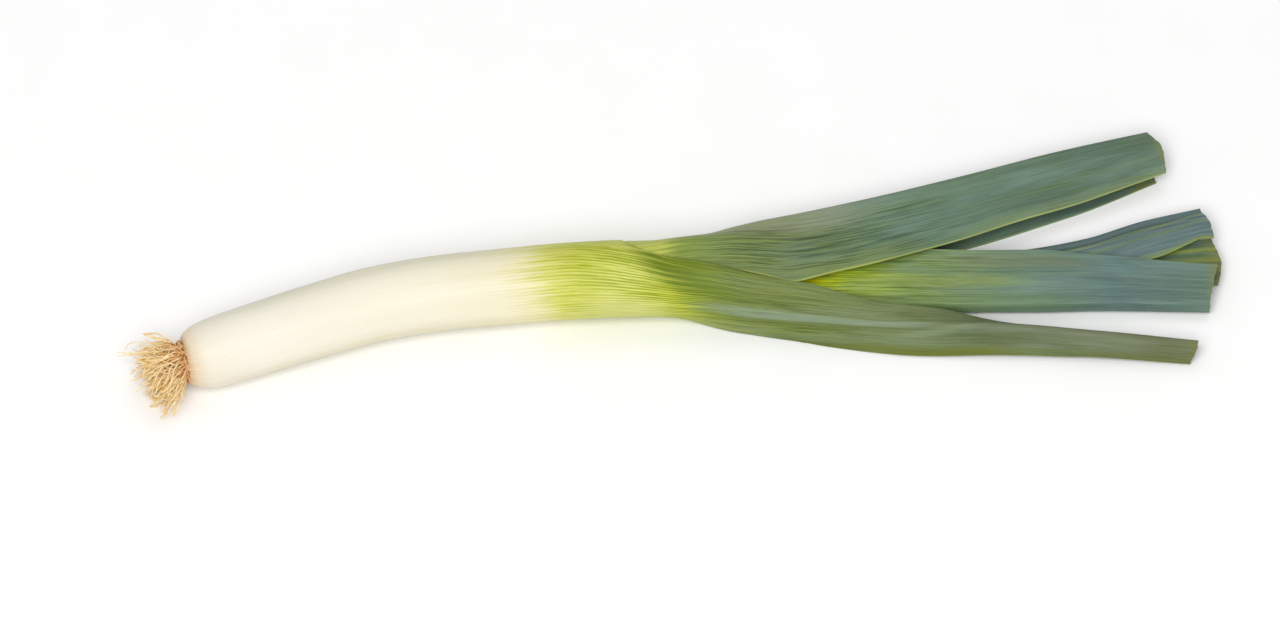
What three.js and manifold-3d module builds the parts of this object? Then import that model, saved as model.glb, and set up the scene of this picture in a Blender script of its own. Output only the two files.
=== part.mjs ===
// A leek as pulled and trimmed: a tuft of roots on its basal plate, a blanched shank of rolled
// sheaths, and five folded blades that fan out from the neck. It lies on a flat surface.
// Millimetres, +Z up, +X from the roots to the leaf tips. The origin is on the underside of the
// shank, in the narrow flat strip that the leek rests on.
import * as THREE from "three";
import { mergeVertices } from "three/addons/utils/BufferGeometryUtils.js";
import Module from "manifold-3d";

const wasm = await Module();
wasm.setup();

// ---- Driving dimensions -------------------------------------------------------------------

// The middle of the shank seen from above, from the basal plate to the neck: x, y.
const SHANK_PLAN = [
  [-174.5, -44.2],
  [-140, -31.4],
  [-112, -21],
  [-84, -11.8],
  [-56, -6.2],
  [-28, -2.9],
  [0, 0],
  [23.7, 1.5],
];
// Distance from the plate, and the shank's radius there: a round shoulder, then a slow swelling.
const SHANK_RADIUS = [
  [0, 10.7], [2.4, 12.6], [5.2, 14.3], [8.5, 15.4], [14, 16.2], [30, 16.8], [110, 17.6],
  [205, 18.2],
];
const SHANK_STATIONS = [
  0, 1.1, 2.6, 5, 8.5, 14, 26, 40, 54, 68, 82, 96, 110, 126, 144, 163, 184,
];
const SHOULDER = 14; // from the plate to where the shoulder ends and the shank touches the surface
const SHANK_SIDES = 28;
const REST_DEPTH = 0.3; // how far the underside is pressed flat

// The innermost leaves stay rolled past the neck, as a short heart: x, y, z and radius.
const HEART = [
  [23.7, 1.5, 18, 11.4], [44, 2.4, 18, 10.8], [62, 2.7, 16.2, 8.8], [78, 1.6, 13.7, 6],
  [84, 1.6, 12.8, 3],
];

const PLATE_RADIUS = 10.6;
const PLATE_PROUD = 3.2; // how far the basal plate stands out of the shank
const PLATE_GAP = 0.3;
const ROOT_COUNT = 96;
const ROOT_SEED = 20;
const ROOT_SUNK = 2;
const ROOT_STEPS = 5;
const ROOT_SIDES = 3;
const ROOT_RADIUS = { base: 0.62, tip: 0.36 };
const ROOT_LENGTH = { least: 15, most: 32 };
const ROOT_SPREAD = 0.9; // radians between the plate's axis and the outermost roots
const ROOT_RISE = 0.3; // the share of its upward slope that a root keeps under its own weight
const ROOT_DROOP = 0.24; // how much each step bends towards the surface
const ROOT_CURL = 0.3; // how much each step strays to a side

const BLADE_THICKNESS = 0.62;
// Where the corners of a section stand, from the keel to a margin, and the places of the sections.
const HALF_FRACTIONS = [0, 0.07, 0.18, 0.31, 0.44, 0.56, 0.69, 0.82, 0.93, 1];
const BLADE_STATIONS = [
  24, 26, 28, 30, 32, 34.5, 37, 40, 44, 49, 54, 60, 66, 73, 80, 88, 96, 104, 112, 122, 134, 148,
  165, 185, 207, 232, 262,
];

// ---- The blades ---------------------------------------------------------------------------
//
// A blade is a sheet that is rolled round the neck as its sheath, and opens past it into a fold.
// It is drawn by its cross-sections in planes across X. A list holds pairs of x and a value,
// joined by a smooth curve, and a single number holds all along. In each section
//   side          is -1 where the keel is on the near side (-Y), and +1 on the far side
//   keelY, keelZ  place the keel
//   turn          turns the fold about its keel, in degrees
//   sheath        is the radius of the rolled part
//   width         is a half's width from the keel to its margin
//   lean          is a half's slope away from the keel in degrees, up for the upper half and
//                 down for the lower one
//   curl          bends a half, in degrees per centimetre
//   floor, roof   are the heights between which its neighbours leave room
// opens gives where the roll starts to open and where it is a plain fold, keelBend is the width
// over which the fold is rounded, and tips gives the cut at the upper margin, keel and lower
// margin.
const LEAVES = [
  {
    name: "leaf_1",
    color: 0x7d8f63,
    side: -1,
    opens: [46, 125],
    keelBend: [[125, 6], [190, 2.5]],
    tips: [[-1, 298], [0, 297.7], [1, 294]],
    sheath: 17.8,
    keelY: [
      [24, -16.4], [37, -15.8], [65, -14.4], [93, -16.8], [131, -20.2], [168, -22.6],
      [206, -23.4], [252, -27], [298, -31],
    ],
    keelZ: [
      [24, 18.2], [37, 17.9], [65, 14.5], [93, 12], [131, 12], [168, 13.2], [206, 15], [252, 14],
      [298, 11.8],
    ],
    turn: [[150, 0], [215, 80]],
    upper: {
      width: [
        [24, 54], [28, 44.5], [31, 38.5], [37, 33], [44, 29.6], [58, 27], [70, 26.6], [93, 23.5],
        [112, 20.5], [150, 12], [170, 10.5], [190, 10.5], [229, 14], [298, 12],
      ],
      lean: [
        [65, 54], [80, 50], [112, 42], [150, 24], [168, 8], [180, -12], [206, -52], [229, -60],
        [298, -62],
      ],
      curl: 0,
    },
    lower: {
      width: [
        [24, 54], [27, 49], [33, 39], [44, 30], [65, 27], [93, 23], [112, 19], [150, 14.6],
        [206, 14.9], [229, 14.4], [252, 12.9], [298, 12.4],
      ],
      lean: [
        [46, 90], [65, 165], [93, 136], [112, 126], [150, 126], [206, 118], [229, 114],
        [298, 106],
      ],
      curl: [[46, 10], [65, 5], [93, 18], [112, 18], [150, 0]],
    },
    floor: 0.5,
    roof: [[37, 37.5], [52, 34.9], [65, 31.7], [80, 29.6], [95, 27.6], [112, 25.5], [131, 30]],
  },
  {
    name: "leaf_2",
    color: 0x6f8470,
    side: 1,
    opens: [50, 118],
    keelBend: 6,
    tips: [[-1, 284.6], [-0.5, 282.8], [0, 274.8], [1, 280]],
    sheath: [[34, 16.4], [46, 16.8]],
    keelY: [
      [24, 17.8], [37, 18.8], [68, 25], [80, 29.8], [93, 34.2], [112, 39], [150, 49.4], [190, 62],
      [234, 76.5], [285, 91],
    ],
    keelZ: [
      [24, 18.2], [37, 18], [68, 17], [93, 16.2], [112, 16], [150, 15.5], [190, 14.5],
      [234, 13.5], [285, 12],
    ],
    turn: 0,
    upper: {
      width: [
        [24, 51.5], [29, 50], [42, 39.5], [52, 34.5], [68, 32.5], [80, 33.5], [95, 37], [112, 42],
        [150, 39], [190, 36], [238, 32.5], [285, 25.5],
      ],
      lean: [[46, 20], [68, 14], [112, 5], [150, -5], [190, -10.5], [238, -13], [285, -15]],
      curl: 0,
    },
    lower: {
      width: [
        [24, 51.5], [29, 50], [44, 38], [68, 35], [112, 38], [150, 37], [190, 37.5], [238, 34.5],
        [285, 24.7],
      ],
      lean: [[68, 60], [112, 48], [150, 38], [190, 26], [238, 24], [285, 26]],
      curl: [[34, 10], [112, 12], [150, 8], [190, 0]],
    },
    floor: [[115, 1.7], [150, 0.5]],
    roof: [[37, 35.8], [52, 32.6], [65, 30.2], [80, 27.3], [95, 24.3], [112, 22], [150, 30]],
  },
  {
    name: "leaf_3",
    color: 0x6c8468,
    side: -1,
    opens: [66, 120],
    keelBend: 6,
    tips: [[-1, 307.5], [0, 303.7], [1, 305]],
    sheath: [[28, 15.25], [45, 14.9], [65, 12.9], [80, 10.9], [95, 9]],
    keelY: [
      [24, -13.8], [45, -12.6], [65, -10.2], [80, -9.6], [100, -9.2], [150, -7.6], [226, -7],
      [254, -6.3], [304, -7.1],
    ],
    keelZ: [[24, 18.2], [45, 17.9], [65, 15.8], [80, 13.2], [100, 9.6], [150, 6.2], [226, 5]],
    turn: 0,
    upper: {
      width: [
        [28, 47.8], [45, 46.9], [65, 39.5], [80, 33], [95, 30], [112, 32], [150, 33], [226, 31.5],
        [250, 28.4], [278, 25.7], [307, 24],
      ],
      lean: [[60, 35], [80, 22], [112, 8], [150, 4], [189, 5], [226, 7], [307, 11]],
      curl: 0,
    },
    lower: {
      width: [
        [28, 47.8], [45, 46.9], [65, 39.5], [80, 33], [95, 30], [112, 31], [150, 31.5],
        [189, 30.4], [250, 27], [307, 23.5],
      ],
      lean: [[80, 50], [112, 35], [150, 15], [307, 10]],
      curl: [[112, 8], [150, 2]],
    },
    floor: [[115, 2.9], [150, 1.7], [200, 0.5]],
    roof: [
      [37, 34.2], [65, 28.9], [80, 25.5], [95, 21.8], [112, 17.8], [130, 15], [150, 18],
      [170, 30],
    ],
  },
  {
    name: "leaf_4",
    color: 0x687f7a,
    side: 1,
    opens: [84, 126],
    keelBend: 5,
    tips: [[-1, 306.5], [-0.44, 303.6], [-0.31, 300.6], [0, 300], [1, 300]],
    sheath: [[30, 14.2], [45, 13.9], [65, 11.6], [80, 9.3], [95, 7.4], [110, 6]],
    keelY: [
      [24, 15.9], [45, 16.4], [65, 14.3], [80, 10.8], [95, 10.5], [115, 13.5], [150, 18],
      [218, 26.2], [245, 31.3], [273, 41], [300, 47.8],
    ],
    keelZ: [
      [24, 18.2], [45, 17.9], [65, 15.8], [80, 13.4], [95, 10.9], [115, 8], [150, 5.6], [218, 5],
      [245, 6], [306, 8],
    ],
    turn: 0,
    upper: {
      width: [
        [30, 44], [45, 43], [65, 35.5], [80, 26.5], [95, 21], [112, 15.2], [130, 16.5],
        [150, 18.5], [218, 23.5], [250, 25], [277, 25.2], [300, 19],
      ],
      lean: [[64, 20], [80, 4], [112, 0], [218, -2], [306, -4]],
      curl: 0,
    },
    lower: {
      width: [
        [30, 44], [45, 43], [65, 35.5], [80, 27.5], [95, 21], [112, 16.5], [150, 18], [218, 22],
        [280, 17.5], [306, 14],
      ],
      lean: [[80, 40], [112, 30], [150, 20], [306, 18]],
      curl: 5,
    },
    floor: [[115, 4.1], [150, 2.9], [200, 1.7]],
    roof: [
      [37, 33], [65, 27.4], [80, 22.3], [95, 16.7], [112, 12], [130, 9.7], [150, 7.8], [218, 7.7],
      [245, 10], [306, 30],
    ],
  },
  {
    name: "leaf_5",
    color: 0x6d8156,
    side: -1,
    opens: [90, 126],
    keelBend: 4,
    tips: [[-1, 305], [-0.4, 309.6], [0, 308]],
    sheath: [[32, 13], [45, 12.7], [65, 10.3], [80, 7.9], [95, 5.9], [110, 4.4]],
    keelY: [
      [24, -11.3], [45, -10.2], [65, -7.7], [80, -6.6], [95, -3.2], [115, -3.6], [150, -2],
      [226, 2], [310, 8],
    ],
    keelZ: [
      [24, 18.2], [45, 17.9], [65, 15.8], [80, 13.4], [95, 10.9], [115, 8], [150, 5.2],
      [226, 4.6], [310, 5],
    ],
    turn: 0,
    upper: {
      width: [
        [32, 40.3], [45, 39.3], [65, 31.8], [80, 24.3], [95, 17], [112, 14], [150, 16], [226, 22],
        [310, 26.6],
      ],
      lean: [[80, 6], [112, 0]],
      curl: 0,
    },
    lower: {
      width: [
        [32, 40.3], [45, 39.3], [65, 31.8], [80, 24.3], [95, 17.5], [112, 14.5], [150, 13],
        [226, 16], [310, 20],
      ],
      lean: [[80, 30], [112, 15], [310, 6]],
      curl: [[40, 5], [112, 0]],
    },
    floor: [[115, 5.3], [150, 4.1], [200, 2.9]],
    roof: [
      [37, 31.8], [65, 26.2], [80, 21.1], [95, 15.2], [112, 10.2], [130, 8.4], [150, 6.5],
      [218, 5.9], [245, 6.4], [306, 7],
    ],
  },
];

// ---- Curves through a few values ------------------------------------------------------------

const clamp01 = (t) => Math.min(1, Math.max(0, t));
const smoothStep = (t) => clamp01(t) ** 2 * (3 - 2 * clamp01(t));
const radians = THREE.MathUtils.degToRad;

// The value at x of the smooth curve through pairs of x and value. It never swings past a value.
function valueAt(pairs, x) {
  if (typeof pairs === "number") return pairs;
  const last = pairs.length - 1;
  if (x <= pairs[0][0]) return pairs[0][1];
  if (x >= pairs[last][0]) return pairs[last][1];
  const rise = (i) => (pairs[i + 1][1] - pairs[i][1]) / (pairs[i + 1][0] - pairs[i][0]);
  const slope = (i) => {
    if (i === 0) return rise(0);
    if (i === last) return rise(last - 1);
    if (rise(i - 1) * rise(i) <= 0) return 0;
    const before = pairs[i][0] - pairs[i - 1][0];
    const after = pairs[i + 1][0] - pairs[i][0];
    const a = before + 2 * after;
    const b = after + 2 * before;
    return (a + b) / (a / rise(i - 1) + b / rise(i));
  };
  const i = pairs.findIndex((pair) => x < pair[0]) - 1;
  const step = pairs[i + 1][0] - pairs[i][0];
  const t = (x - pairs[i][0]) / step;
  return (
    (1 + 2 * t) * (1 - t) ** 2 * pairs[i][1] +
    t * (1 - t) ** 2 * step * slope(i) +
    t * t * (3 - 2 * t) * pairs[i + 1][1] +
    t * t * (t - 1) * step * slope(i + 1)
  );
}

// Keeps a height above a floor, or below a roof, with a soft corner.
const SOFT_CORNER = 0.8;
const softPart = (over) => 0.5 * (over + Math.hypot(over, SOFT_CORNER));
const above = (z, floor) => floor + softPart(z - floor);
const below = (z, roof) => roof - softPart(roof - z);

// ---- Solids ---------------------------------------------------------------------------------

// A closed surface through rings of points, each ring a closed loop with the same number of
// points, with a flat cap over the first and the last one.
function loft(rings) {
  const sides = rings[0].length;
  const points = rings.flat();
  const faces = [];
  for (let k = 0; k + 1 < rings.length; k++) {
    for (let i = 0; i < sides; i++) {
      const j = (i + 1) % sides;
      const [a, b] = [k * sides + i, k * sides + j];
      const [c, d] = [a + sides, b + sides];
      faces.push(a, b, d, a, d, c);
    }
  }
  for (const [ring, turned] of [[0, true], [rings.length - 1, false]]) {
    const centre = points.length;
    points.push(rings[ring].reduce((sum, p) => sum.add(p), new THREE.Vector3()).divideScalar(sides));
    for (let i = 0; i < sides; i++) {
      const [a, b] = [ring * sides + i, ring * sides + ((i + 1) % sides)];
      faces.push(centre, ...(turned ? [b, a] : [a, b]));
    }
  }
  return closedGeometry(points, faces);
}

// Turns the faces outward if they point in.
function closedGeometry(points, faces) {
  let volume = 0;
  for (let i = 0; i < faces.length; i += 3) {
    const [a, b, c] = [points[faces[i]], points[faces[i + 1]], points[faces[i + 2]]];
    volume += a.dot(b.clone().cross(c));
  }
  if (volume < 0) faces.reverse();
  const geometry = new THREE.BufferGeometry().setFromPoints(points);
  geometry.setIndex(faces);
  return geometry;
}

function solidOf(geometry) {
  const merged = mergeVertices(geometry, 1e-4);
  return new wasm.Manifold(
    new wasm.Mesh({
      numProp: 3,
      vertProperties: merged.getAttribute("position").array,
      triVerts: new Uint32Array(merged.index.array),
    }),
  );
}

function geometryOf(solid) {
  const mesh = solid.getMesh();
  const positions = new Float32Array(mesh.numVert * 3);
  for (let i = 0; i < mesh.numVert; i++) {
    const start = i * mesh.numProp;
    positions.set(mesh.vertProperties.subarray(start, start + 3), i * 3);
  }
  const geometry = new THREE.BufferGeometry();
  geometry.setAttribute("position", new THREE.BufferAttribute(positions, 3));
  geometry.setIndex(new THREE.BufferAttribute(mesh.triVerts, 1));
  return geometry;
}

// A ring round a centre, across a level direction. Two of its corners lie side by side at the
// bottom, and none is under the surface that the leek lies on.
function levelRing(centre, direction, radius) {
  const across = new THREE.Vector3(direction.y, -direction.x, 0).normalize();
  return Array.from({ length: SHANK_SIDES }, (_, i) => {
    const angle = ((i + 0.5) / SHANK_SIDES) * 2 * Math.PI - Math.PI / 2;
    const point = centre.clone().addScaledVector(across, radius * Math.cos(angle));
    point.z = Math.max(0, centre.z + radius * Math.sin(angle));
    return point;
  });
}

const shankPath = new THREE.CatmullRomCurve3(SHANK_PLAN.map(([x, y]) => new THREE.Vector3(x, y, 0)));

function makeShank() {
  const length = shankPath.getLength();
  const forward = new THREE.Vector3(1, 0, 0);
  const rings = [...SHANK_STATIONS, length].map((distance) => {
    const radius = valueAt(SHANK_RADIUS, distance);
    const centre = shankPath.getPointAt(distance / length);
    centre.z = valueAt(SHANK_RADIUS, Math.max(distance, SHOULDER)) - REST_DEPTH;
    const direction = distance === length ? forward : shankPath.getTangentAt(distance / length);
    return levelRing(centre, direction, radius);
  });
  for (const [x, y, z, radius] of HEART) {
    rings.push(levelRing(new THREE.Vector3(x, y, z), forward, radius));
  }
  return loft(rings);
}

// The point of a blade's middle surface at x, at a fraction of the way from the keel to the upper
// margin (below 0) or the lower one (above 0).
const SECTION_STEPS = 48;
function bladePoint(leaf, x, fraction) {
  const half = fraction < 0 ? leaf.upper : leaf.lower;
  const upward = fraction < 0 ? 1 : -1;
  const open = smoothStep((x - leaf.opens[0]) / (leaf.opens[1] - leaf.opens[0]));
  const sheath = valueAt(leaf.sheath, x);
  const turn = open * radians(valueAt(leaf.turn, x)) * upward;
  const lean = radians(valueAt(half.lean, x));
  const curl = radians(valueAt(half.curl, x)) / 10;
  const keelBend = valueAt(leaf.keelBend, x);
  const step = (Math.abs(fraction) * valueAt(half.width, x)) / SECTION_STEPS;
  let out = 0;
  let up = 0;
  for (let i = 0; i < SECTION_STEPS; i++) {
    const distance = (i + 0.5) * step;
    const rolled = distance / sheath;
    const folded = (Math.PI / 2 - turn - lean) * smoothStep(distance / keelBend) + curl * distance;
    const heading = Math.PI / 2 - turn - (1 - open) * rolled - open * folded;
    out += step * Math.cos(heading);
    up += step * Math.sin(heading) * upward;
  }
  const y = valueAt(leaf.keelY, x) - leaf.side * out;
  const z = valueAt(leaf.keelZ, x) + up;
  return new THREE.Vector3(x, y, below(above(z, valueAt(leaf.floor, x)), valueAt(leaf.roof, x)));
}

function makeBlade(leaf) {
  const fractions = [...HALF_FRACTIONS.slice(1).reverse().map((f) => -f), ...HALF_FRACTIONS];
  const base = BLADE_STATIONS[0];
  const reach = Math.max(...leaf.tips.map(([, x]) => x));
  const stations = [...BLADE_STATIONS, reach].map((x) => (x - base) / (reach - base));
  const nudge = 0.01; // of a half's width, to find the direction across the sheet
  const rings = stations.map((along) => {
    const front = [];
    const back = [];
    for (const fraction of fractions) {
      const x = base + along * (valueAt(leaf.tips, fraction) - base);
      const middle = bladePoint(leaf, x, fraction);
      const from = bladePoint(leaf, x, Math.max(-1, fraction - nudge));
      const to = bladePoint(leaf, x, Math.min(1, fraction + nudge));
      const normal = new THREE.Vector3(0, from.z - to.z, to.y - from.y).normalize();
      front.push(middle.clone().addScaledVector(normal, BLADE_THICKNESS / 2));
      back.push(middle.clone().addScaledVector(normal, -BLADE_THICKNESS / 2));
    }
    return { front, back };
  });
  const across = fractions.length;
  const points = rings.flatMap(({ front, back }) => [...front, ...back]);
  const index = (k, side, i) => (2 * k + side) * across + i;
  const faces = [];
  const quad = (a, b, c, d) => faces.push(a, b, c, a, c, d);
  const lastRing = rings.length - 1;
  for (let k = 0; k < lastRing; k++) {
    for (let i = 0; i + 1 < across; i++) {
      quad(index(k, 0, i), index(k + 1, 0, i), index(k + 1, 0, i + 1), index(k, 0, i + 1));
      // The same split as on the front, seen from the back.
      const [a, b] = [index(k, 1, i), index(k + 1, 1, i)];
      const [c, d] = [index(k + 1, 1, i + 1), index(k, 1, i + 1)];
      faces.push(a, c, b, a, d, c);
    }
    quad(index(k, 0, 0), index(k, 1, 0), index(k + 1, 1, 0), index(k + 1, 0, 0));
    const m = across - 1;
    quad(index(k, 0, m), index(k + 1, 0, m), index(k + 1, 1, m), index(k, 1, m));
  }
  for (let i = 0; i + 1 < across; i++) {
    quad(index(0, 0, i), index(0, 0, i + 1), index(0, 1, i + 1), index(0, 1, i));
    const k = lastRing;
    quad(index(k, 0, i), index(k, 1, i), index(k, 1, i + 1), index(k, 0, i + 1));
  }
  return closedGeometry(points, faces);
}

// ---- Roots ------------------------------------------------------------------------------------

// A small repeatable random sequence of numbers from 0 to 1.
function makeRandom(seed) {
  let state = seed;
  return () => {
    state = (state + 0x6d2b79f5) | 0;
    let t = Math.imul(state ^ (state >>> 15), 1 | state);
    t = (t + Math.imul(t ^ (t >>> 7), 61 | t)) ^ t;
    return ((t ^ (t >>> 14)) >>> 0) / 4294967296;
  };
}

function makeRoot(start, heading, length, random) {
  const points = [start.clone()];
  const direction = heading.clone();
  const stray = new THREE.Vector3(random() - 0.5, random() - 0.5, random() - 0.5);
  const step = length / ROOT_STEPS;
  for (let i = 0; i < ROOT_STEPS; i++) {
    const next = points[i].clone().addScaledVector(direction, step);
    next.z = Math.max(next.z, ROOT_RADIUS.base + 0.1);
    points.push(next);
    const wander = new THREE.Vector3(random() - 0.5, random() - 0.5, random() - 0.5);
    direction.addScaledVector(stray, ROOT_CURL).addScaledVector(wander, ROOT_CURL);
    direction.z -= ROOT_DROOP;
    direction.normalize();
  }
  const rings = points.map((point, i) => {
    const ahead = points[Math.min(i + 1, ROOT_STEPS)];
    const along = ahead.clone().sub(points[Math.max(i - 1, 0)]).normalize();
    const u = new THREE.Vector3(0.31, 0.27, 0.91).cross(along).normalize();
    const v = along.clone().cross(u);
    const radius = THREE.MathUtils.lerp(ROOT_RADIUS.base, ROOT_RADIUS.tip, i / ROOT_STEPS);
    return Array.from({ length: ROOT_SIDES }, (_, side) => {
      const angle = (side / ROOT_SIDES) * 2 * Math.PI;
      return point
        .clone()
        .addScaledVector(u, radius * Math.cos(angle))
        .addScaledVector(v, radius * Math.sin(angle));
    });
  });
  return loft(rings);
}

function makeRoots() {
  const random = makeRandom(ROOT_SEED);
  const centre = shankPath.getPointAt(0);
  centre.z = valueAt(SHANK_RADIUS, SHOULDER) - REST_DEPTH;
  const axis = shankPath.getTangentAt(0).negate();
  const across = new THREE.Vector3(axis.y, -axis.x, 0);
  const up = new THREE.Vector3(0, 0, 1);
  // The plate: a low dome against the end of the shank.
  const profile = [
    [PLATE_GAP, 0.93], [PLATE_GAP + 1.1, 1], [PLATE_PROUD * 0.75, 0.8], [PLATE_PROUD, 0.45],
  ];
  const plateSides = 20;
  const plate = loft(
    profile.map(([proud, share]) =>
      Array.from({ length: plateSides }, (_, i) => {
        const angle = (i / plateSides) * 2 * Math.PI;
        return centre
          .clone()
          .addScaledVector(axis, proud)
          .addScaledVector(across, PLATE_RADIUS * share * Math.cos(angle))
          .addScaledVector(up, PLATE_RADIUS * share * Math.sin(angle));
      }),
    ),
  );
  let tuft = solidOf(plate);
  const golden = Math.PI * (3 - Math.sqrt(5));
  for (let i = 0; i < ROOT_COUNT; i++) {
    // Even over the plate: each root stands on the next turn of a sunflower spiral.
    const share = Math.sqrt((i + 0.5) / ROOT_COUNT);
    const angle = i * golden;
    const spoke = across.clone().multiplyScalar(Math.cos(angle)).addScaledVector(up, Math.sin(angle));
    const lean = ROOT_SPREAD * share * (0.75 + 0.5 * random());
    const heading = axis.clone().multiplyScalar(Math.cos(lean)).addScaledVector(spoke, Math.sin(lean));
    heading.z *= heading.z > 0 ? ROOT_RISE : 1;
    heading.normalize();
    const start = centre
      .clone()
      .addScaledVector(axis, PLATE_PROUD - share * 1.2)
      .addScaledVector(spoke, PLATE_RADIUS * 0.86 * share)
      .addScaledVector(heading, -ROOT_SUNK * (1 - share * 0.45));
    const length = THREE.MathUtils.lerp(ROOT_LENGTH.least, ROOT_LENGTH.most, random());
    tuft = tuft.add(solidOf(makeRoot(start, heading, length, random)));
  }
  return geometryOf(tuft);
}

// ---- The leek -----------------------------------------------------------------------------------

const leek = new THREE.Group();

function addPiece(name, geometry, color, roughness) {
  const material = new THREE.MeshStandardMaterial({ color, roughness, metalness: 0 });
  const mesh = new THREE.Mesh(geometry, material);
  mesh.name = name;
  leek.add(mesh);
}

addPiece("roots", makeRoots(), 0xe3c99c, 0.85);
addPiece("shank", makeShank(), 0xf8f3dc, 0.4);
for (const leaf of LEAVES) addPiece(leaf.name, makeBlade(leaf), leaf.color, 0.5);

export default leek;
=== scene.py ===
"""A leek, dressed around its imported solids: the roots, the white shank and the green blades.

Lengths in the tables are millimetres, as a grower would measure them, and the meshes are metres.
"""
import math
import random
from types import SimpleNamespace

import bpy
import numpy as np
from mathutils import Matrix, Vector


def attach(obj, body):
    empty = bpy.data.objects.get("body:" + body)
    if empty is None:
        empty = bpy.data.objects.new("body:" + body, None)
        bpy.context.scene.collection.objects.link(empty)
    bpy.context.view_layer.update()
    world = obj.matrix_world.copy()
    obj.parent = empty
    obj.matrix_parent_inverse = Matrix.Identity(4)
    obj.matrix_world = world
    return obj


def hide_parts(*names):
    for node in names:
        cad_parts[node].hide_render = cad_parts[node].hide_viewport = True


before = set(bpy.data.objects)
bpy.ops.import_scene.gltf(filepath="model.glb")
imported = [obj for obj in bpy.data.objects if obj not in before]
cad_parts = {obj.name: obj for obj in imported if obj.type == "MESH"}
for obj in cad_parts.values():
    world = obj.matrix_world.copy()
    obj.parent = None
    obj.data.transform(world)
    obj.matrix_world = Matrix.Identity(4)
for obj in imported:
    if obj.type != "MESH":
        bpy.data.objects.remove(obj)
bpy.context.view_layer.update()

bl_info = {
    "name": "Leek",
    "version": (1, 0, 0),
    "blender": (4, 5, 0),
    "location": "View3D > Sidebar > Leek",
    "description": "Builds a leek: its roots, its shank and its blades",
    "category": "Add Mesh",
}

MM = 0.001
TINY = 1e-6  # keeps a division from a zero length
UP = np.array([0.0, 0.0, 1.0])

# ---- The plant's measures -----------------------------------------------------------------------

# The middle of the shank seen from above, from the basal plate to the neck: x, y.
SHANK_PLAN = [
    [-174.5, -44.2], [-140, -31.4], [-112, -21], [-84, -11.8], [-56, -6.2], [-28, -2.9], [0, 0],
    [24, 1.4],
]
# Distance from the plate, and the shank's radius there.
SHANK_RADIUS = [
    [0, 9.6], [1, 11.2], [2.6, 12.6], [5.2, 14.2], [8.5, 15.3], [14, 16.2], [30, 16.8],
    [110, 17.6], [205, 18.11],
]
SHOULDER = 14  # from the plate to where the shoulder ends and the shank touches the surface
SHOULDER_SINKS = 0.3  # how far the shank's middle may lie below the shoulder's radius
SHANK_FLOOR = [[0, 0], [24, 0.5]]  # x, and the height that the sheath's middle keeps above
SHANK_CLEARANCE = 0.1  # how far the shank's skin stays above the surface
NECK_LIFT = 0.3  # how much higher the shank's middle stands at the neck
SQUARE_FROM, SQUARE_OVER = -10, 34  # where the shank's rings turn to stand across x
SLOPE_REACH = 2  # how far to each side the shank's bend is measured
PLAN_SAMPLES = 800  # places along the shank's middle at which its length is added up
# The innermost leaves, rolled up in the neck: x, y, z and radius.
HEART = [
    [22, 1.5, 18, 11.4], [44, 2.4, 18, 10.8], [62, 2.7, 16.2, 8.8], [78, 1.6, 13.7, 6],
    [84, 1.6, 12.8, 2.4],
]
HEART_BLUNTNESS = 2.5  # how soon the heart reaches its full radius from its ends

SHEATH_START, NECK_END = 24, 120  # x where the blades' tables start, and where the neck ends
NECK_ROWS, BLADE_ROWS = 75, 90  # rows of points before and after it
# Rings round the shank: distances from the plate, then x of the first and the last and how many.
SHOULDER_ROWS = [0, 0.12, 0.3, 0.6, 1, 1.6, 2.4, 3.4, 4.8, 6.5, 8.5, 11]
SHAFT_ROWS = (-161, 12, 74)
COLLAR_ROWS = (13.2, SHEATH_START, 10)
KEEL_CROWDING = 0.28  # how much closer together the columns are at the keel

# Where the outer leaf's margin leaves the next leaf bare: x, and the share from its keel.
BARE = [[28, 0.2], [31, 0.31], [37, 0.49], [44, 0.62], [60, 0.8]]
BARE_BLUR = 0.08  # share of a half over which the swelling rises
SWELL_RISES, SWELL_FALLS = [27, 31], [46, 30]  # x from and to
# The waves of a blade: millimetres for each radian, height beside the first wave, how much of
# the leaf's phase counts, and how far they slant from the keel to the margin, in radians.
WAVES = [(19, 1, 1, 1.7), (8.3, 0.7, 2.1, 0)]
WAVES_GROW = [130, 220]  # x from and to
MARGIN_POWER = 1.5  # the power of the share from the keel with which the waves grow
# The cut ends: four fine waves across the blade, each with its height, and how far it is cut back.
RAGGED_WAVES, RAGGED, CUT_BACK = 4, 0.07, 0.2
RAGGED_PACE, RAGGED_START = (14, 60), (0, 6.3)  # radians for each half, and at the keel

# The grain through which a patch shows: a noise of the leaf's skin, the two values of it between
# which the patch rises, and how much of the patch shows at each.
STREAKED = ("streaks", 0.25, 0.72, 0.4, 1.3)
SCORED = ("scores", 0.25, 0.72, 0.4, 1.3)
LINES = ("scores", 0.5, 0.64, 0.0, 1.0)
CLOSE_LINES = ("scores", 0.47, 0.61, 0.0, 1.0)
ALL_ACROSS = (-0.1, 1.1, 0.05)  # from margin to margin


def patch(x, side, colour, amount, slant=0, grain=STREAKED):
    """A colour laid over a stretch of a leaf: x from, to and softness, and side from 0 at the
    upper margin over 0.5 at the keel to 1 at the lower margin, with its softness. slant is how
    much further out it lies for each unit of side."""
    return dict(x=x, side=side, colour=colour, amount=amount, slant=slant, grain=grain)


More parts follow.
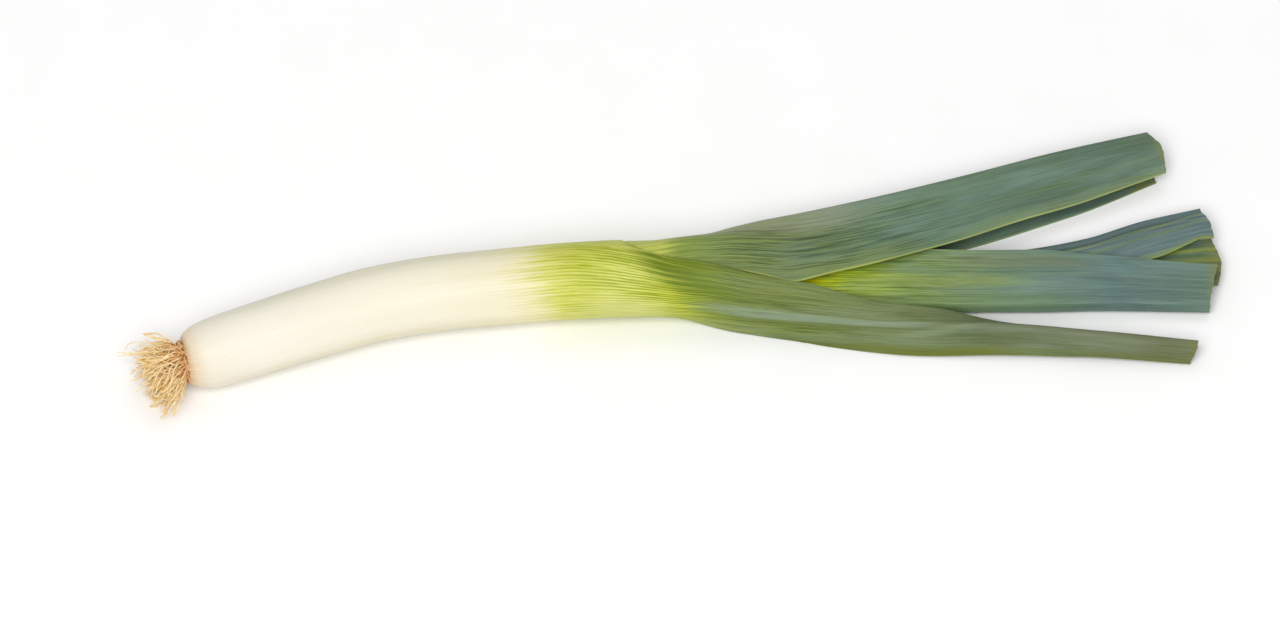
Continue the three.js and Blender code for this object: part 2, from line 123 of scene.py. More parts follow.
# A blade is a sheet that is rolled round the neck as its sheath, and opens past it into a fold.
# It is drawn by its cross-sections in planes across x. A list holds pairs of x and a value,
# joined by a smooth curve, and a single number holds all along. In each section
#   keel_side       is -1 where the keel is on the near side (-y), and 1 on the far side
#   keel_y, keel_z  place the keel
#   turn            turns the fold about its keel, in degrees
#   sheath          is the radius of the rolled part
#   floor, roof     are the heights between which its neighbours leave room
# and for the upper and the lower half of the fold
#   width           is its width from the keel to its margin
#   lean            is its slope away from the keel in degrees, up or down
#   curl            bends it, in degrees per centimetre
# For the whole leaf
#   opens           is where the roll starts to open and where it is a plain fold
#   keel_bend       is the width over which the fold is rounded
#   tips            gives the cut from the upper margin (-1) over the keel (0) to the lower one (1)
#   seed, phase     draw the cut end and place the waves
#   wave, swell     are how far the upper margin waves, and how far the leaf stands out where it
#                   leaves the sheath around it
#   starts          is where its sheath is made from, and neck_rows how many rows its neck has
#   creases         are folds along the blade: share from the keel, width and depth
# and for its skin
#   tissue          is x, the colour between the veins and that of the veins
#   later           is how much further out the lower side turns green: from, to, millimetres
#   bloom, rim      are the wax's colour and amount, and the margins' colour and amounts
#   patches         are laid over it in turn: those with LINES are thin dark scores in the wax
# The outer leaf is a closed sheath on the shank, where its halves reach right round at the back.
OUTER_LEAF = dict(
    name="outer_leaf", keel_side=-1, opens=[46, 125], keel_bend=[[125, 6], [190, 2.5]],
    tips=[[-1, 298], [0, 297.7], [1, 294]], sheath=17.8,
    keel_y=[
        [24, -16.4], [37, -15.8], [65, -14.4], [93, -16.8], [131, -20.2], [168, -22.6],
        [206, -23.4], [252, -27], [298, -31],
    ],
    keel_z=[
        [24, 18.2], [37, 17.9], [65, 14.5], [93, 12], [131, 12], [168, 13.2], [206, 15], [252, 14],
        [298, 11.8],
    ],
    turn=[[150, 0], [215, 80]],
    floor=0.5,
    roof=[[37, 37.5], [52, 34.9], [65, 31.7], [80, 29.6], [95, 27.6], [112, 25.5], [131, 30]],
    upper_width=[
        [16, 55.92], [24, 54], [28, 44.5], [31, 38.5], [37, 33], [44, 29.6], [58, 27], [70, 26.6],
        [93, 23.5], [112, 20.5], [150, 12], [170, 10.5], [190, 10.5], [229, 14], [298, 12],
    ],
    upper_lean=[
        [65, 54], [80, 50], [112, 42], [150, 24], [168, 8], [180, -12], [206, -52], [229, -60],
        [298, -62],
    ],
    upper_curl=0,
    lower_width=[
        [16, 55.92], [24, 54], [27, 49], [33, 39], [44, 30], [65, 27], [93, 23], [112, 19],
        [150, 14.6], [206, 14.9], [229, 14.4], [252, 12.9], [298, 12.4],
    ],
    lower_lean=[
        [46, 90], [65, 165], [93, 136], [112, 126], [150, 126], [206, 118], [229, 114], [298, 106],
    ],
    lower_curl=[[46, 10], [65, 5], [93, 18], [112, 18], [150, 0]],
    seed=3, phase=0.4, neck_rows=80, wave=0.3, vein_pitch=1.6,
    tissue=[
        (-176, "#EFE6D4", "#EBE1CC"), (-150, "#F3EDDE", "#F1EADA"), (-60, "#F2EBD5", "#EFE8D0"),
        (-30, "#F0E8CA", "#EBE3BF"), (-19, "#EEE5B8", "#E0DB9C"), (-7, "#DBD97C", "#BFC440"),
        (10, "#CFD258", "#A3AE18"), (30, "#D6D870", "#96A510"), (50, "#C4CA40", "#86960F"),
        (62, "#94A236", "#687A0C"), (75, "#80903C", "#586A1E"), (100, "#76863F", "#54641E"),
        (150, "#72804A", "#566530"), (190, "#6C7952", "#526038"), (220, "#767F62", "#5E6A48"),
        (290, "#707852", "#5A6238"),
    ],
    later=(0.25, 0.65, 11), bloom=("#8E9C84", 0.3), rim=("#8C9448", 0.25, 0.5),
    patches=[
        patch((-190, -170, 5), ALL_ACROSS, "#DDBE8C", 0.5, grain=SCORED),
        patch((-190, -173.4, 1.6), ALL_ACROSS, "#C8934E", 0.8, grain=SCORED),
        # Darker, yellower cream along the lower side of the shank: painted shade where it turns
        # under.
        patch((-150, -20, 24), (0.5, 0.8, 0.05), "#D6CEA6", 0.5),
        # Greyer cream along the top of the shank where it turns away: painted shade.
        patch((-150, -30, 24), (0.06, 0.19, 0.06), "#D0D2B2", 0.5),
        patch((11, 46, 12), (0.4, 0.62, 0.06), "#DEDC90", 0.55),
        # Deep green in the hollow under the margin, where the blade leaves the neck: partly the
        # leaf's own earlier green, partly painted shade in the hollow.
        patch((33, 60, 10), (-0.1, 0.27, 0.08), "#5E7400", 0.9, slant=55),
        patch((54, 64, 8), (0.05, 0.33, 0.08), "#6A8408", 0.5, slant=55),
        patch((90, 134, 16), (0.04, 0.24, 0.06), "#6E7C28", 0.45),
        # A thin dark line on the upper margin: painted shadow that the margin casts on the leaf
        # beneath it.
        patch((42, 196, 8), (-0.1, 0.012, 0.008), "#3C4A18", 0.8),
        patch((62, 100, 14), (0.6, 0.82, 0.06), "#9CAA7C", 0.4),
        # Pale bluish band above the keel: painted sheen, a highlight on the rounded keel.
        patch((70, 170, 16), (0.38, 0.49, 0.03), "#98A998", 0.58, grain=SCORED),
        patch((66, 300, 20), (0.86, 1.02, 0.05), "#66722E", 0.6),
        patch((135, 212, 16), (0.84, 1.02, 0.05), "#68721A", 0.6),
        # A lighter band and then a darker one, slanting across the blade: painted light and painted
        # shade on either side of a buckle that the surface doesn't have.
        patch((232, 250, 8), (0.44, 0.7, 0.05), "#8C9A7C", 0.35, slant=-115, grain=SCORED),
        patch((253, 264, 6), (0.42, 0.66, 0.05), "#5E685C", 0.35, slant=-115),
        patch((204, 290, 12), (0.38, 0.56, 0.05), "#70745E", 0.25),
        patch((294, 310, 2), ALL_ACROSS, "#7C7434", 0.5),
        patch((60, 300, 12), ALL_ACROSS, "#4A5A28", 0.45, grain=LINES),
    ],
)
LEAF_2 = dict(
    name="leaf_2", keel_side=1, opens=[50, 118], keel_bend=6,
    tips=[[-1, 284.6], [-0.5, 282.8], [0, 274.8], [1, 280]], sheath=[[34, 16.4], [46, 16.8]],
    keel_y=[
        [24, 17.8], [37, 18.8], [68, 25], [80, 29.8], [93, 34.2], [112, 39], [150, 49.4], [190, 62],
        [234, 76.5], [285, 91],
    ],
    keel_z=[
        [24, 18.2], [37, 18], [68, 17], [93, 16.2], [112, 16], [150, 15.5], [190, 14.5],
        [234, 13.5], [285, 12],
    ],
    turn=0,
    floor=[[115, 1.7], [150, 0.5]],
    roof=[[37, 35.8], [52, 32.6], [65, 30.2], [80, 27.3], [95, 24.3], [112, 22], [150, 30]],
    upper_width=[
        [24, 51.5], [29, 50], [42, 39.5], [52, 34.5], [68, 32.8], [80, 35.2], [95, 39.4],
        [112, 44.2], [130, 41.4], [150, 39], [190, 36], [238, 32.5], [285, 25.5],
    ],
    upper_lean=[[46, 20], [68, 14], [112, 5], [150, -5], [190, -10.5], [238, -13], [285, -15]],
    upper_curl=0,
    lower_width=[
        [24, 51.5], [29, 50], [44, 38], [68, 35], [112, 38], [150, 37], [190, 37.5], [238, 34.5],
        [285, 24.7],
    ],
    lower_lean=[[68, 60], [112, 48], [150, 38], [190, 26], [238, 24], [285, 26]],
    lower_curl=[[34, 10], [112, 12], [150, 8], [190, 0]],
    seed=11, phase=1.9, wave=0.7, swell=0.7, starts=12, vein_pitch=1.7,
    tissue=[
        (24, "#CDD070", "#AAB640"), (48, "#C4CA60", "#A0AC3C"), (55, "#9CAC56", "#788C36"),
        (66, "#8EA05C", "#6C8240"), (84, "#86964E", "#5E723A"), (110, "#76894C", "#4C623A"),
        (150, "#70875E", "#4C6648"), (190, "#69825F", "#4B6652"), (240, "#667C66", "#4B655A"),
        (285, "#63785F", "#4A6150"),
    ],
    later=(0.1, 0.9, 6), bloom=("#7C948C", 0.4), rim=("#BCC464", 0.5, 0.25),
    patches=[
        patch((52, 70, 8), (-0.1, 0.3, 0.1), "#7C8F30", 0.4),
        patch((80, 150, 20), (-0.1, 0.01, 0.006), "#C8D04C", 0.6),
        patch((60, 140, 20), (0.3, 0.52, 0.07), "#A3A68C", 0.5),
        patch((84, 160, 16), (-0.1, 0.1, 0.04), "#90A060", 0.45),
        patch((140, 216, 18), (0.1, 0.32, 0.06), "#64848A", 0.2, grain=SCORED),
        patch((128, 190, 18), (0.36, 0.52, 0.05), "#7C9696", 0.25),
        patch((200, 300, 16), (0.17, 0.22, 0.02), "#7E8E40", 0.15, grain=SCORED),
        patch((190, 300, 20), (-0.1, 0.07, 0.03), "#8C9C5E", 0.35),
        patch((284.3, 300, 2), ALL_ACROSS, "#868840", 0.45, slant=-16),
        patch((74, 176, 18), (0.02, 0.36, 0.06), "#2C4418", 0.6, grain=CLOSE_LINES),
        patch((190, 300, 30), ALL_ACROSS, "#4E6428", 0.4, grain=LINES),
    ],
)
LEAF_3 = dict(
    name="leaf_3", keel_side=-1, opens=[66, 120], keel_bend=6,
    tips=[[-1, 307.5], [0, 303.7], [1, 305]],
    sheath=[[28, 15.25], [45, 14.9], [65, 12.9], [80, 10.9], [95, 9]],
    keel_y=[
        [24, -13.8], [45, -12.6], [65, -10.2], [80, -9.6], [100, -9.2], [150, -7.6], [226, -7],
        [254, -6.3], [304, -7.1],
    ],
    keel_z=[[24, 18.2], [45, 17.9], [65, 15.8], [80, 13.2], [100, 9.6], [150, 6.2], [226, 5]],
    turn=0,
    floor=[[115, 2.9], [150, 1.7], [200, 0.5]],
    roof=[
        [37, 34.2], [65, 28.9], [80, 25.5], [95, 21.8], [112, 17.8], [130, 15], [150, 18],
        [170, 30],
    ],
    upper_width=[
        [28, 47.8], [45, 46.9], [65, 39.5], [80, 33], [95, 30], [112, 32], [150, 33], [226, 31.5],
        [250, 28.4], [278, 25.7], [307, 24],
    ],
    upper_lean=[[60, 35], [80, 22], [112, 8], [150, 4], [189, 5], [226, 7], [307, 11]],
    upper_curl=0,
    lower_width=[
        [28, 47.8], [45, 46.9], [65, 39.5], [80, 33], [95, 30], [112, 31], [150, 31.5], [189, 30.4],
        [250, 27], [307, 23.5],
    ],
    lower_lean=[[80, 50], [112, 35], [150, 15], [307, 10]], lower_curl=[[112, 8], [150, 2]],
    seed=12, phase=3.1, wave=0.5, vein_pitch=1.6,
    tissue=[
        # At 100 and 116 the leaf's own bright yellow, where it leaves the mouth, is made lighter
        # still: painted light in the shaded recess.
        (24, "#C9D070", "#A8B646"), (100, "#F4F614", "#DCE200"), (116, "#F6FA0C", "#D4E000"),
        (135, "#BCD03C", "#869E16"), (160, "#8EA456", "#647C30"), (190, "#82986A", "#5A7246"),
        (220, "#778E76", "#527060"), (260, "#6A847C", "#4A6664"), (305, "#6C8472", "#4C6452"),
    ],
    later=(0.1, 0.9, 2), bloom=("#78928C", 0.35), rim=("#7C8A56", 0.2, 0.3),
    patches=[
        patch((112, 150, 12), (0.36, 0.56, 0.05), "#50620E", 0.6),
        patch((140, 216, 16), (0.22, 0.3, 0.03), "#92A24E", 0.5, grain=SCORED),
        patch((140, 240, 20), (0.38, 0.52, 0.05), "#6A8650", 0.45),
        patch((185, 244, 14), (0.04, 0.14, 0.03), "#7C7F58", 0.45, grain=SCORED),
        patch((250, 300, 12), (0.19, 0.24, 0.02), "#54665A", 0.5, grain=SCORED),
        patch((303, 320, 2), ALL_ACROSS, "#7E8440", 0.5),
        patch((110, 190, 20), ALL_ACROSS, "#3C5414", 0.6, grain=LINES),
        patch((190, 300, 20), ALL_ACROSS, "#48605A", 0.25, grain=LINES),
    ],
)
LEAF_4 = dict(
    name="leaf_4", keel_side=1, opens=[84, 126], keel_bend=5,
    tips=[[-1, 306.5], [-0.44, 303.6], [-0.31, 300.6], [0, 300], [1, 300]],
    sheath=[[30, 14.2], [45, 13.9], [65, 11.6], [80, 9.3], [95, 7.4], [110, 6]],
    keel_y=[
        [24, 15.9], [45, 16.4], [65, 14.3], [80, 10.8], [95, 10.5], [115, 13.5], [150, 18],
        [218, 26.2], [245, 31.3], [273, 41], [300, 47.8],
    ],
    keel_z=[
        [24, 18.2], [45, 17.9], [65, 15.8], [80, 13.4], [95, 10.9], [115, 8], [150, 5.6], [218, 5],
        [245, 6], [306, 8],
    ],
    turn=0,
    floor=[[115, 4.1], [150, 2.9], [200, 1.7]],
    roof=[
        [37, 33], [65, 27.4], [80, 22.3], [95, 16.7], [112, 12], [130, 9.7], [150, 7.8], [218, 7.7],
        [245, 10], [306, 30],
    ],
    upper_width=[
        [30, 44], [45, 43], [65, 35.5], [80, 26.5], [95, 21], [112, 15.2], [130, 16.5], [150, 18.5],
        [218, 23.5], [250, 25], [277, 25.2], [300, 19],
    ],
    upper_lean=[[64, 20], [80, 4], [112, 0], [218, -2], [306, -4]], upper_curl=0,
    lower_width=[
        [30, 44], [45, 43], [65, 35.5], [80, 27.5], [95, 21], [112, 16.5], [150, 18], [218, 22],
        [280, 17.5], [306, 14],
    ],
    lower_lean=[[80, 40], [112, 30], [150, 20], [306, 18]], lower_curl=5,
    seed=13, phase=4.4, wave=0.5, creases=[(-0.35, 0.07, -1.6)], vein_pitch=1.6,
    tissue=[
        (24, "#C9D070", "#A8B646"), (150, "#85985C", "#587030"), (220, "#6C8472", "#4C6458"),
        (260, "#69807C", "#4C6266"), (300, "#69807C", "#4C6266"),
    ],
    later=(0.1, 0.9, 2), bloom=("#7E928E", 0.4), rim=("#A6B044", 0.55, 0.4),
    patches=[
        # Darker grey-blue from the crease over the keel: partly the leaf's own grey, partly painted
        # shade on the far wall of the groove.
        patch((200, 320, 20), (0.34, 0.6, 0.01), "#56686A", 0.7),
        patch((200, 320, 20), (0.318, 0.335, 0.008), "#7E8E3E", 0.6),
        patch((200, 320, 20), (0.24, 0.28, 0.02), "#74864A", 0.4),
        patch((200, 320, 20), (-0.1, 0.05, 0.02), "#7E9040", 0.6),
        patch((190, 320, 20), ALL_ACROSS, "#3E5450", 0.5, grain=LINES),
    ],
)
LEAF_5 = dict(
    name="leaf_5", keel_side=-1, opens=[90, 126], keel_bend=4,
    tips=[[-1, 305], [-0.4, 309.6], [0, 308]],
    sheath=[[32, 13], [45, 12.7], [65, 10.3], [80, 7.9], [95, 5.9], [110, 4.4]],
    keel_y=[
        [24, -11.3], [45, -10.2], [65, -7.7], [80, -6.6], [95, -3.2], [115, -3.6], [150, -2],
        [226, 2], [310, 8],
    ],
    keel_z=[
        [24, 18.2], [45, 17.9], [65, 15.8], [80, 13.4], [95, 10.9], [115, 8], [150, 5.2],
        [226, 4.6], [310, 5],
    ],
    turn=0,
    floor=[[115, 5.3], [150, 4.1], [200, 2.9]],
    roof=[
        [37, 31.8], [65, 26.2], [80, 21.1], [95, 15.2], [112, 10.2], [130, 8.4], [150, 6.5],
        [218, 5.9], [245, 6.4], [306, 7],
    ],
    upper_width=[
        [32, 40.3], [45, 39.3], [65, 31.8], [80, 24.3], [95, 17], [112, 14], [150, 16], [226, 22],
        [310, 26.6],
    ],
    upper_lean=[[80, 6], [112, 0]], upper_curl=0,
    lower_width=[
        [32, 40.3], [45, 39.3], [65, 31.8], [80, 24.3], [95, 17.5], [112, 14.5], [150, 13],
        [226, 16], [310, 20],
    ],
    lower_lean=[[80, 30], [112, 15], [310, 6]], lower_curl=[[40, 5], [112, 0]],
    seed=14, phase=5.6, wave=0.3, vein_pitch=1.5,
    tissue=[
        (24, "#C9D070", "#A8B646"), (150, "#7C8E54", "#526828"), (220, "#566C3A", "#3C5428"),
        (300, "#506442", "#3A4F32"),
    ],
    later=(0.1, 0.9, 2), bloom=("#78908A", 0.4), rim=("#8A9A48", 0.4, 0.4),
    patches=[
        patch((220, 320, 20), (0.09, 0.14, 0.02), "#8C9A44", 0.6),
        patch((220, 320, 20), (0.19, 0.25, 0.02), "#8C9A44", 0.6),
        patch((220, 320, 20), (0.31, 0.36, 0.02), "#8C9A44", 0.5),
        patch((302, 320, 4), ALL_ACROSS, "#8A8A40", 0.4),
        patch((200, 320, 20), ALL_ACROSS, "#3C5424", 0.5, grain=LINES),
    ],
)
INNER_LEAVES = [LEAF_2, LEAF_3, LEAF_4, LEAF_5]
VEINS_GATHERED = 0.6  # how far the veins draw together where a leaf narrows: 1 is all the way
VEINS_EASED = 20  # millimetres before and after a leaf narrows over which its veins bend
EASING_STEPS = 9  # places over which that is averaged
SKIN_THICKNESS = 0.62  # of a leaf

# The camera is far off with a long lens, so that its lines of sight are nearly parallel.
CAMERA_TARGET = (37.4, -9.6, 0)
CAMERA_DISTANCE = 8972
CAMERA_ELEVATION = 55
LENS, SENSOR = 540, 36
SIGHT_END = 30  # metres, past the floor behind the leek
FLOOR_SIZE = 12  # metres
AMBIENT = 0.42  # strength of the white world
# The lamps: name, place in metres, size in metres, watts.
LAMPS = [
    ("softbox_front", (-0.3, -2.3, 3.4), 2.8, 122.0),
    ("softbox_back", (0.6, 2.2, 4.0), 2.4, 24.0),
]
LAMP_TARGET = (0.04, 0, 0)  # metres

# ---- Curves through a few values ----------------------------------------------------------------


def smooth_step(t):
    t = np.clip(t, 0, 1)
    return t * t * (3 - 2 * t)


def ramp_between(x, ends):
    """Rises smoothly from 0 at the first end to 1 at the second, which may be the lower one."""
    return smooth_step((x - ends[0]) / (ends[1] - ends[0]))


def value_at(pairs, x):
    """The value at each x of a smooth curve through pairs of x and value, which doesn't swing
    past them."""
    x = np.asarray(x, float)
    if not isinstance(pairs, list):
        return np.full(x.shape, float(pairs))
    at, value = np.array(pairs, float).T
    gap = np.diff(at)
    rise = np.diff(value) / gap
    slope = np.zeros(len(at))
    slope[0], slope[-1] = rise[0], rise[-1]
    for i in range(1, len(at) - 1):
        if rise[i - 1] * rise[i] > 0:
            before = gap[i - 1] + 2 * gap[i]
            after = gap[i] + 2 * gap[i - 1]
            slope[i] = (before + after) / (before / rise[i - 1] + after / rise[i])
    x = np.clip(x, at[0], at[-1])
    i = np.clip(np.searchsorted(at, x, side="right") - 1, 0, len(at) - 2)
    t = (x - at[i]) / gap[i]
    return (
        (1 + 2 * t) * (1 - t) ** 2 * value[i]
        + t * (1 - t) ** 2 * gap[i] * slope[i]
        + t * t * (3 - 2 * t) * value[i + 1]
        + t * t * (t - 1) * gap[i] * slope[i + 1]
    )


SOFT_CORNER = 0.8  # millimetres over which a height bends into its floor or roof
NO_ROOF = 60  # a roof above everything


def between(z, floor, roof):
    """Keeps heights above a floor and below a roof, with soft corners."""
    over = z - floor
    z = floor + 0.5 * (over + np.hypot(over, SOFT_CORNER))
    under = roof - z
    return roof - 0.5 * (under + np.hypot(under, SOFT_CORNER))


# ---- The leaves' surfaces -----------------------------------------------------------------------

SECTION_STEPS = 48  # short straight steps from the keel to a margin


def of_half(leaf, key, x, fraction):
    """A measure of the upper half where fraction is below 0, and of the lower half elsewhere."""
    upper, lower = [value_at(leaf[half + key], x) for half in ("upper_", "lower_")]
    return np.where(fraction < 0, upper, lower)


def blade_points(leaf, x, fraction):
    """Points of a blade's middle surface at x, at a share of the way from the keel (0) to the
    upper margin (-1) or the lower one (1)."""
    upward = np.where(fraction < 0, 1.0, -1.0)
    opened = ramp_between(x, leaf["opens"])
    sheath = value_at(leaf["sheath"], x)
    turn = opened * np.radians(value_at(leaf["turn"], x)) * upward
    lean = np.radians(of_half(leaf, "lean", x, fraction))
    curl = np.radians(of_half(leaf, "curl", x, fraction)) / 10  # for each millimetre
    keel_bend = value_at(leaf["keel_bend"], x)
    step = np.abs(fraction) * of_half(leaf, "width", x, fraction) / SECTION_STEPS
    out = np.zeros(x.shape)
    up = np.zeros(x.shape)
    for i in range(SECTION_STEPS):
        distance = (i + 0.5) * step
        rolled = distance / sheath
        folded = (math.pi / 2 - turn - lean) * smooth_step(distance / keel_bend)
        folded += curl * distance
        heading = math.pi / 2 - turn - (1 - opened) * rolled - opened * folded
        out += step * np.cos(heading)
        up += step * np.sin(heading) * upward
    y = value_at(leaf["keel_y"], x) - leaf["keel_side"] * out
    z = value_at(leaf["keel_z"], x) + up
    z = between(z, value_at(leaf["floor"], x), value_at(leaf["roof"], x))
    return np.stack([x, y, z], axis=-1)


def shank_points(x, fraction):
    """Points of the sheath round the shank, at the middle of its thickness. Each ring stands
    across the shank, and turns to stand across x at the neck."""
    line = np.linspace(SHANK_PLAN[0][0], SHANK_PLAN[-1][0], PLAN_SAMPLES)
    steps = np.hypot(np.diff(line), np.diff(value_at(SHANK_PLAN, line)))
    distance = np.interp(x, line, np.concatenate([[0], np.cumsum(steps)]))
    radius = value_at(SHANK_RADIUS, distance) - SKIN_THICKNESS / 2
    square = smooth_step((x - SQUARE_FROM) / SQUARE_OVER)
    ahead, behind = [value_at(SHANK_PLAN, x + reach) for reach in (SLOPE_REACH, -SLOPE_REACH)]
    slope = (ahead - behind) / (2 * SLOPE_REACH) * (1 - square)
    length = np.hypot(1, slope)
    width = of_half(OUTER_LEAF, "width", x, fraction)
    angle = np.abs(fraction) * np.minimum(width / OUTER_LEAF["sheath"], math.pi)
    least = value_at(SHANK_RADIUS, SHOULDER) - SHOULDER_SINKS
    centre_z = np.maximum(radius, least) + SHANK_CLEARANCE + NECK_LIFT * square
    out = -radius * np.cos(angle)
    z = centre_z - np.sign(fraction) * radius * np.sin(angle)
    z = between(z, value_at(SHANK_FLOOR, x), NO_ROOF)
    y = value_at(SHANK_PLAN, x) + out / length
    return np.stack([x - out * slope / length, y, z], axis=-1)


def sheet_normals(points):
    along = np.gradient(points, axis=0)
    across = np.gradient(points, axis=1)
    normal = np.cross(across, along)
    return normal / np.maximum(np.linalg.norm(normal, axis=-1, keepdims=True), TINY)


def leaf_columns(count):
    """Places across a leaf, closer together near the keel."""
    even = np.linspace(-1, 1, count + 1)
    return even * (1 - KEEL_CROWDING + KEEL_CROWDING * np.abs(even))


def leaf_waves(leaf, x, fraction):
    """How far the blade stands off its plain fold: slow waves that grow towards the upper
    margin, the swelling where it is bare, and the creases that some blades have."""
    grown = ramp_between(x, WAVES_GROW)
    slow = sum(
        height * np.sin(x / pace + share * leaf["phase"] + slant * fraction)
        for pace, height, share, slant in WAVES
    )
    rise = leaf["wave"] * grown * np.maximum(-fraction, 0) ** MARGIN_POWER * slow
    bare = smooth_step((value_at(BARE, x) + fraction) / BARE_BLUR) * (fraction < 0)
    bare = bare * ramp_between(x, SWELL_RISES) * ramp_between(x, SWELL_FALLS)
    rise -= leaf["keel_side"] * leaf.get("swell", 0) * bare
    for place, width, depth in leaf.get("creases", []):
        rise += depth * grown * np.exp(-(((fraction - place) / width) ** 2))
    return rise


def leaf_coordinates(leaf, x, fraction):
    """UV maps in metres along the leaf. veins: from the keel across the blade, and x. edge: the
    share from margin to margin, and x."""
    steps = np.linspace(-VEINS_EASED, VEINS_EASED, EASING_STEPS)
    eased = sum(of_half(leaf, "width", x + step, fraction) for step in steps) / EASING_STEPS
    broad = of_half(leaf, "width", np.zeros(x.shape), fraction)
    gathered = (eased / broad) ** VEINS_GATHERED
    across = fraction * of_half(leaf, "width", x, fraction) / gathered
    return {
        "veins": np.stack([across * MM, x * MM], axis=-1),
        "edge": np.stack([fraction * 0.5 + 0.5, x * MM], axis=-1),
    }


def ragged_tips(leaf, fraction):
    rng = random.Random(leaf["seed"])
    waves = [(rng.uniform(*RAGGED_PACE), rng.uniform(*RAGGED_START)) for _ in range(RAGGED_WAVES)]
    ragged = sum(np.sin(fraction * pace + start) for pace, start in waves)
    return value_at(leaf["tips"], fraction) + RAGGED * ragged - CUT_BACK


def blade_sheet(leaf, columns):
    """Rows of points from the blade's sheath to its cut end, and the UV maps."""
    first = leaf.get("starts", SHEATH_START)
    reach = max(at for _, at in leaf["tips"])
    neck = np.linspace(first, NECK_END, leaf.get("neck_rows", NECK_ROWS))[:-1]
    stations = np.concatenate([neck, np.linspace(NECK_END, reach, BLADE_ROWS)])
    fraction = np.tile(leaf_columns(columns), (len(stations), 1))
    share = np.tile((stations[:, None] - first) / (reach - first), (1, columns + 1))
    x = first + share * (ragged_tips(leaf, fraction) - first)
    points = blade_points(leaf, x, fraction)
    points += sheet_normals(points) * leaf_waves(leaf, x, fraction)[..., None]
    return points, leaf_coordinates(leaf, x, fraction)


def shank_sheet(leaf, columns):
    """Rows of points from the plate to the neck, and the UV maps."""
    shoulder = SHANK_PLAN[0][0] + np.array(SHOULDER_ROWS)
    rows = [shoulder, np.linspace(*SHAFT_ROWS), np.linspace(*COLLAR_ROWS)[:-1]]
    x = np.tile(np.concatenate(rows)[:, None], (1, columns + 1))
    fraction = np.tile(leaf_columns(columns), (len(x), 1))
    return shank_points(x, fraction), leaf_coordinates(leaf, x, fraction)


# ---- Making meshes ------------------------------------------------------------------------------

WELD = 0.02  # millimetres within which margins that meet are joined
SOLID_ANGLE, SHEET_ANGLE = 60, 40  # degrees from which an edge stays sharp


def select_only(*pieces):
    bpy.ops.object.select_all(action="DESELECT")
    for piece in pieces:
        piece.select_set(True)
        bpy.context.view_layer.objects.active = piece


def named_piece(name):
    """The primitive just made, under its name, and the places of its vertices."""
    piece = bpy.context.object
    piece.name = piece.data.name = name
    flat = np.zeros(len(piece.data.vertices) * 3)
    piece.data.vertices.foreach_get("co", flat)
    return piece, flat.reshape(-1, 3)


def grid_piece(name, points, coordinates):
    """A grid primitive laid out on rows and columns of points in millimetres, with UV maps."""
    rows, columns = points.shape[0] - 1, points.shape[1] - 1
    select_only()
    bpy.ops.mesh.primitive_grid_add(x_subdivisions=columns, y_subdivisions=rows, size=1)
    piece, flat = named_piece(name)
    mesh = piece.data
    column = np.rint((flat[:, 0] + 0.5) * columns).astype(int)
    row = np.rint((flat[:, 1] + 0.5) * rows).astype(int)
    mesh.vertices.foreach_set("co", (points[row, column] * MM).ravel())
    corner = np.zeros(len(mesh.loops), int)
    mesh.loops.foreach_get("vertex_index", corner)
    for layer in list(mesh.uv_layers):
        mesh.uv_layers.remove(layer)
    for layer, values in coordinates.items():
        uv = mesh.uv_layers.new(name=layer)
        uv.data.foreach_set("uv", values[row, column][corner].astype(np.float32).ravel())
    mesh.update()
    return piece


def tidy_sheet(piece):
    """Joins the margins where the sheath is a closed tube, and turns all faces the same way."""
    select_only(piece)
    bpy.ops.object.mode_set(mode="EDIT")
    bpy.ops.mesh.select_all(action="SELECT")
    bpy.ops.mesh.remove_doubles(threshold=WELD * MM)
    bpy.ops.mesh.normals_make_consistent(inside=False)
    bpy.ops.object.mode_set(mode="OBJECT")


def smooth_faces(piece, degrees):
    select_only(piece)
    bpy.ops.object.shade_smooth_by_angle(angle=math.radians(degrees))


def sphere_piece(name, segments, place):
    """A sphere primitive whose vertices go where place puts them, in millimetres."""
    rings = segments // 2
    select_only()
    bpy.ops.mesh.primitive_uv_sphere_add(segments=segments, ring_count=rings, radius=1)
    piece, sphere = named_piece(name)
    piece.data.vertices.foreach_set("co", (place(sphere) * MM).ravel())
    piece.data.update()
    tidy_sheet(piece)
    smooth_faces(piece, SOLID_ANGLE)
    return piece


def finish_piece(piece, material, slot, *nodes):
    """Gives a piece its material, and its place in the frame in place of the CAD nodes."""
    if not piece.data.polygons:
        raise RuntimeError(f"{piece.name} came out with no faces")
    piece.data.materials.clear()
    piece.data.materials.append(material)
    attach(piece, "root")
    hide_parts(*nodes)


def leaf_piece(context, name, leaf, sheet, slot, *nodes):
    """Makes a leaf of its sheet's points and UV maps, with its thickness and its skin."""
    piece = grid_piece(name, *sheet)
    tidy_sheet(piece)
    solidify = piece.modifiers.new("Solidify", "SOLIDIFY")
    solidify.thickness = context.scene.leek_shape.thickness
    solidify.offset = 0.0
    select_only(piece)
    bpy.ops.object.modifier_apply(modifier=solidify.name)
    smooth_faces(piece, SHEET_ANGLE)
    finish_piece(piece, leaf_skin(leaf, context.scene.leek_colours.leaf_tint), slot, *nodes)


def heart_points(sphere):
    """Lays a sphere along the heart: height on it is a place along x, and its ends close."""
    low, high = HEART[0][0], HEART[-1][0]
    x = low + (high - low) * (sphere[:, 2] + 1) / 2
    y, z, radius = [value_at([[row[0], row[k]] for row in HEART], x) for k in (1, 2, 3)]
    ring = np.hypot(sphere[:, 0], sphere[:, 1])
    scale = radius * np.minimum(1, ring * HEART_BLUNTNESS) / np.maximum(ring, TINY)
    return np.stack([x, y - sphere[:, 0] * scale, z + sphere[:, 1] * scale], axis=-1)


# ---- Finishes -----------------------------------------------------------------------------------

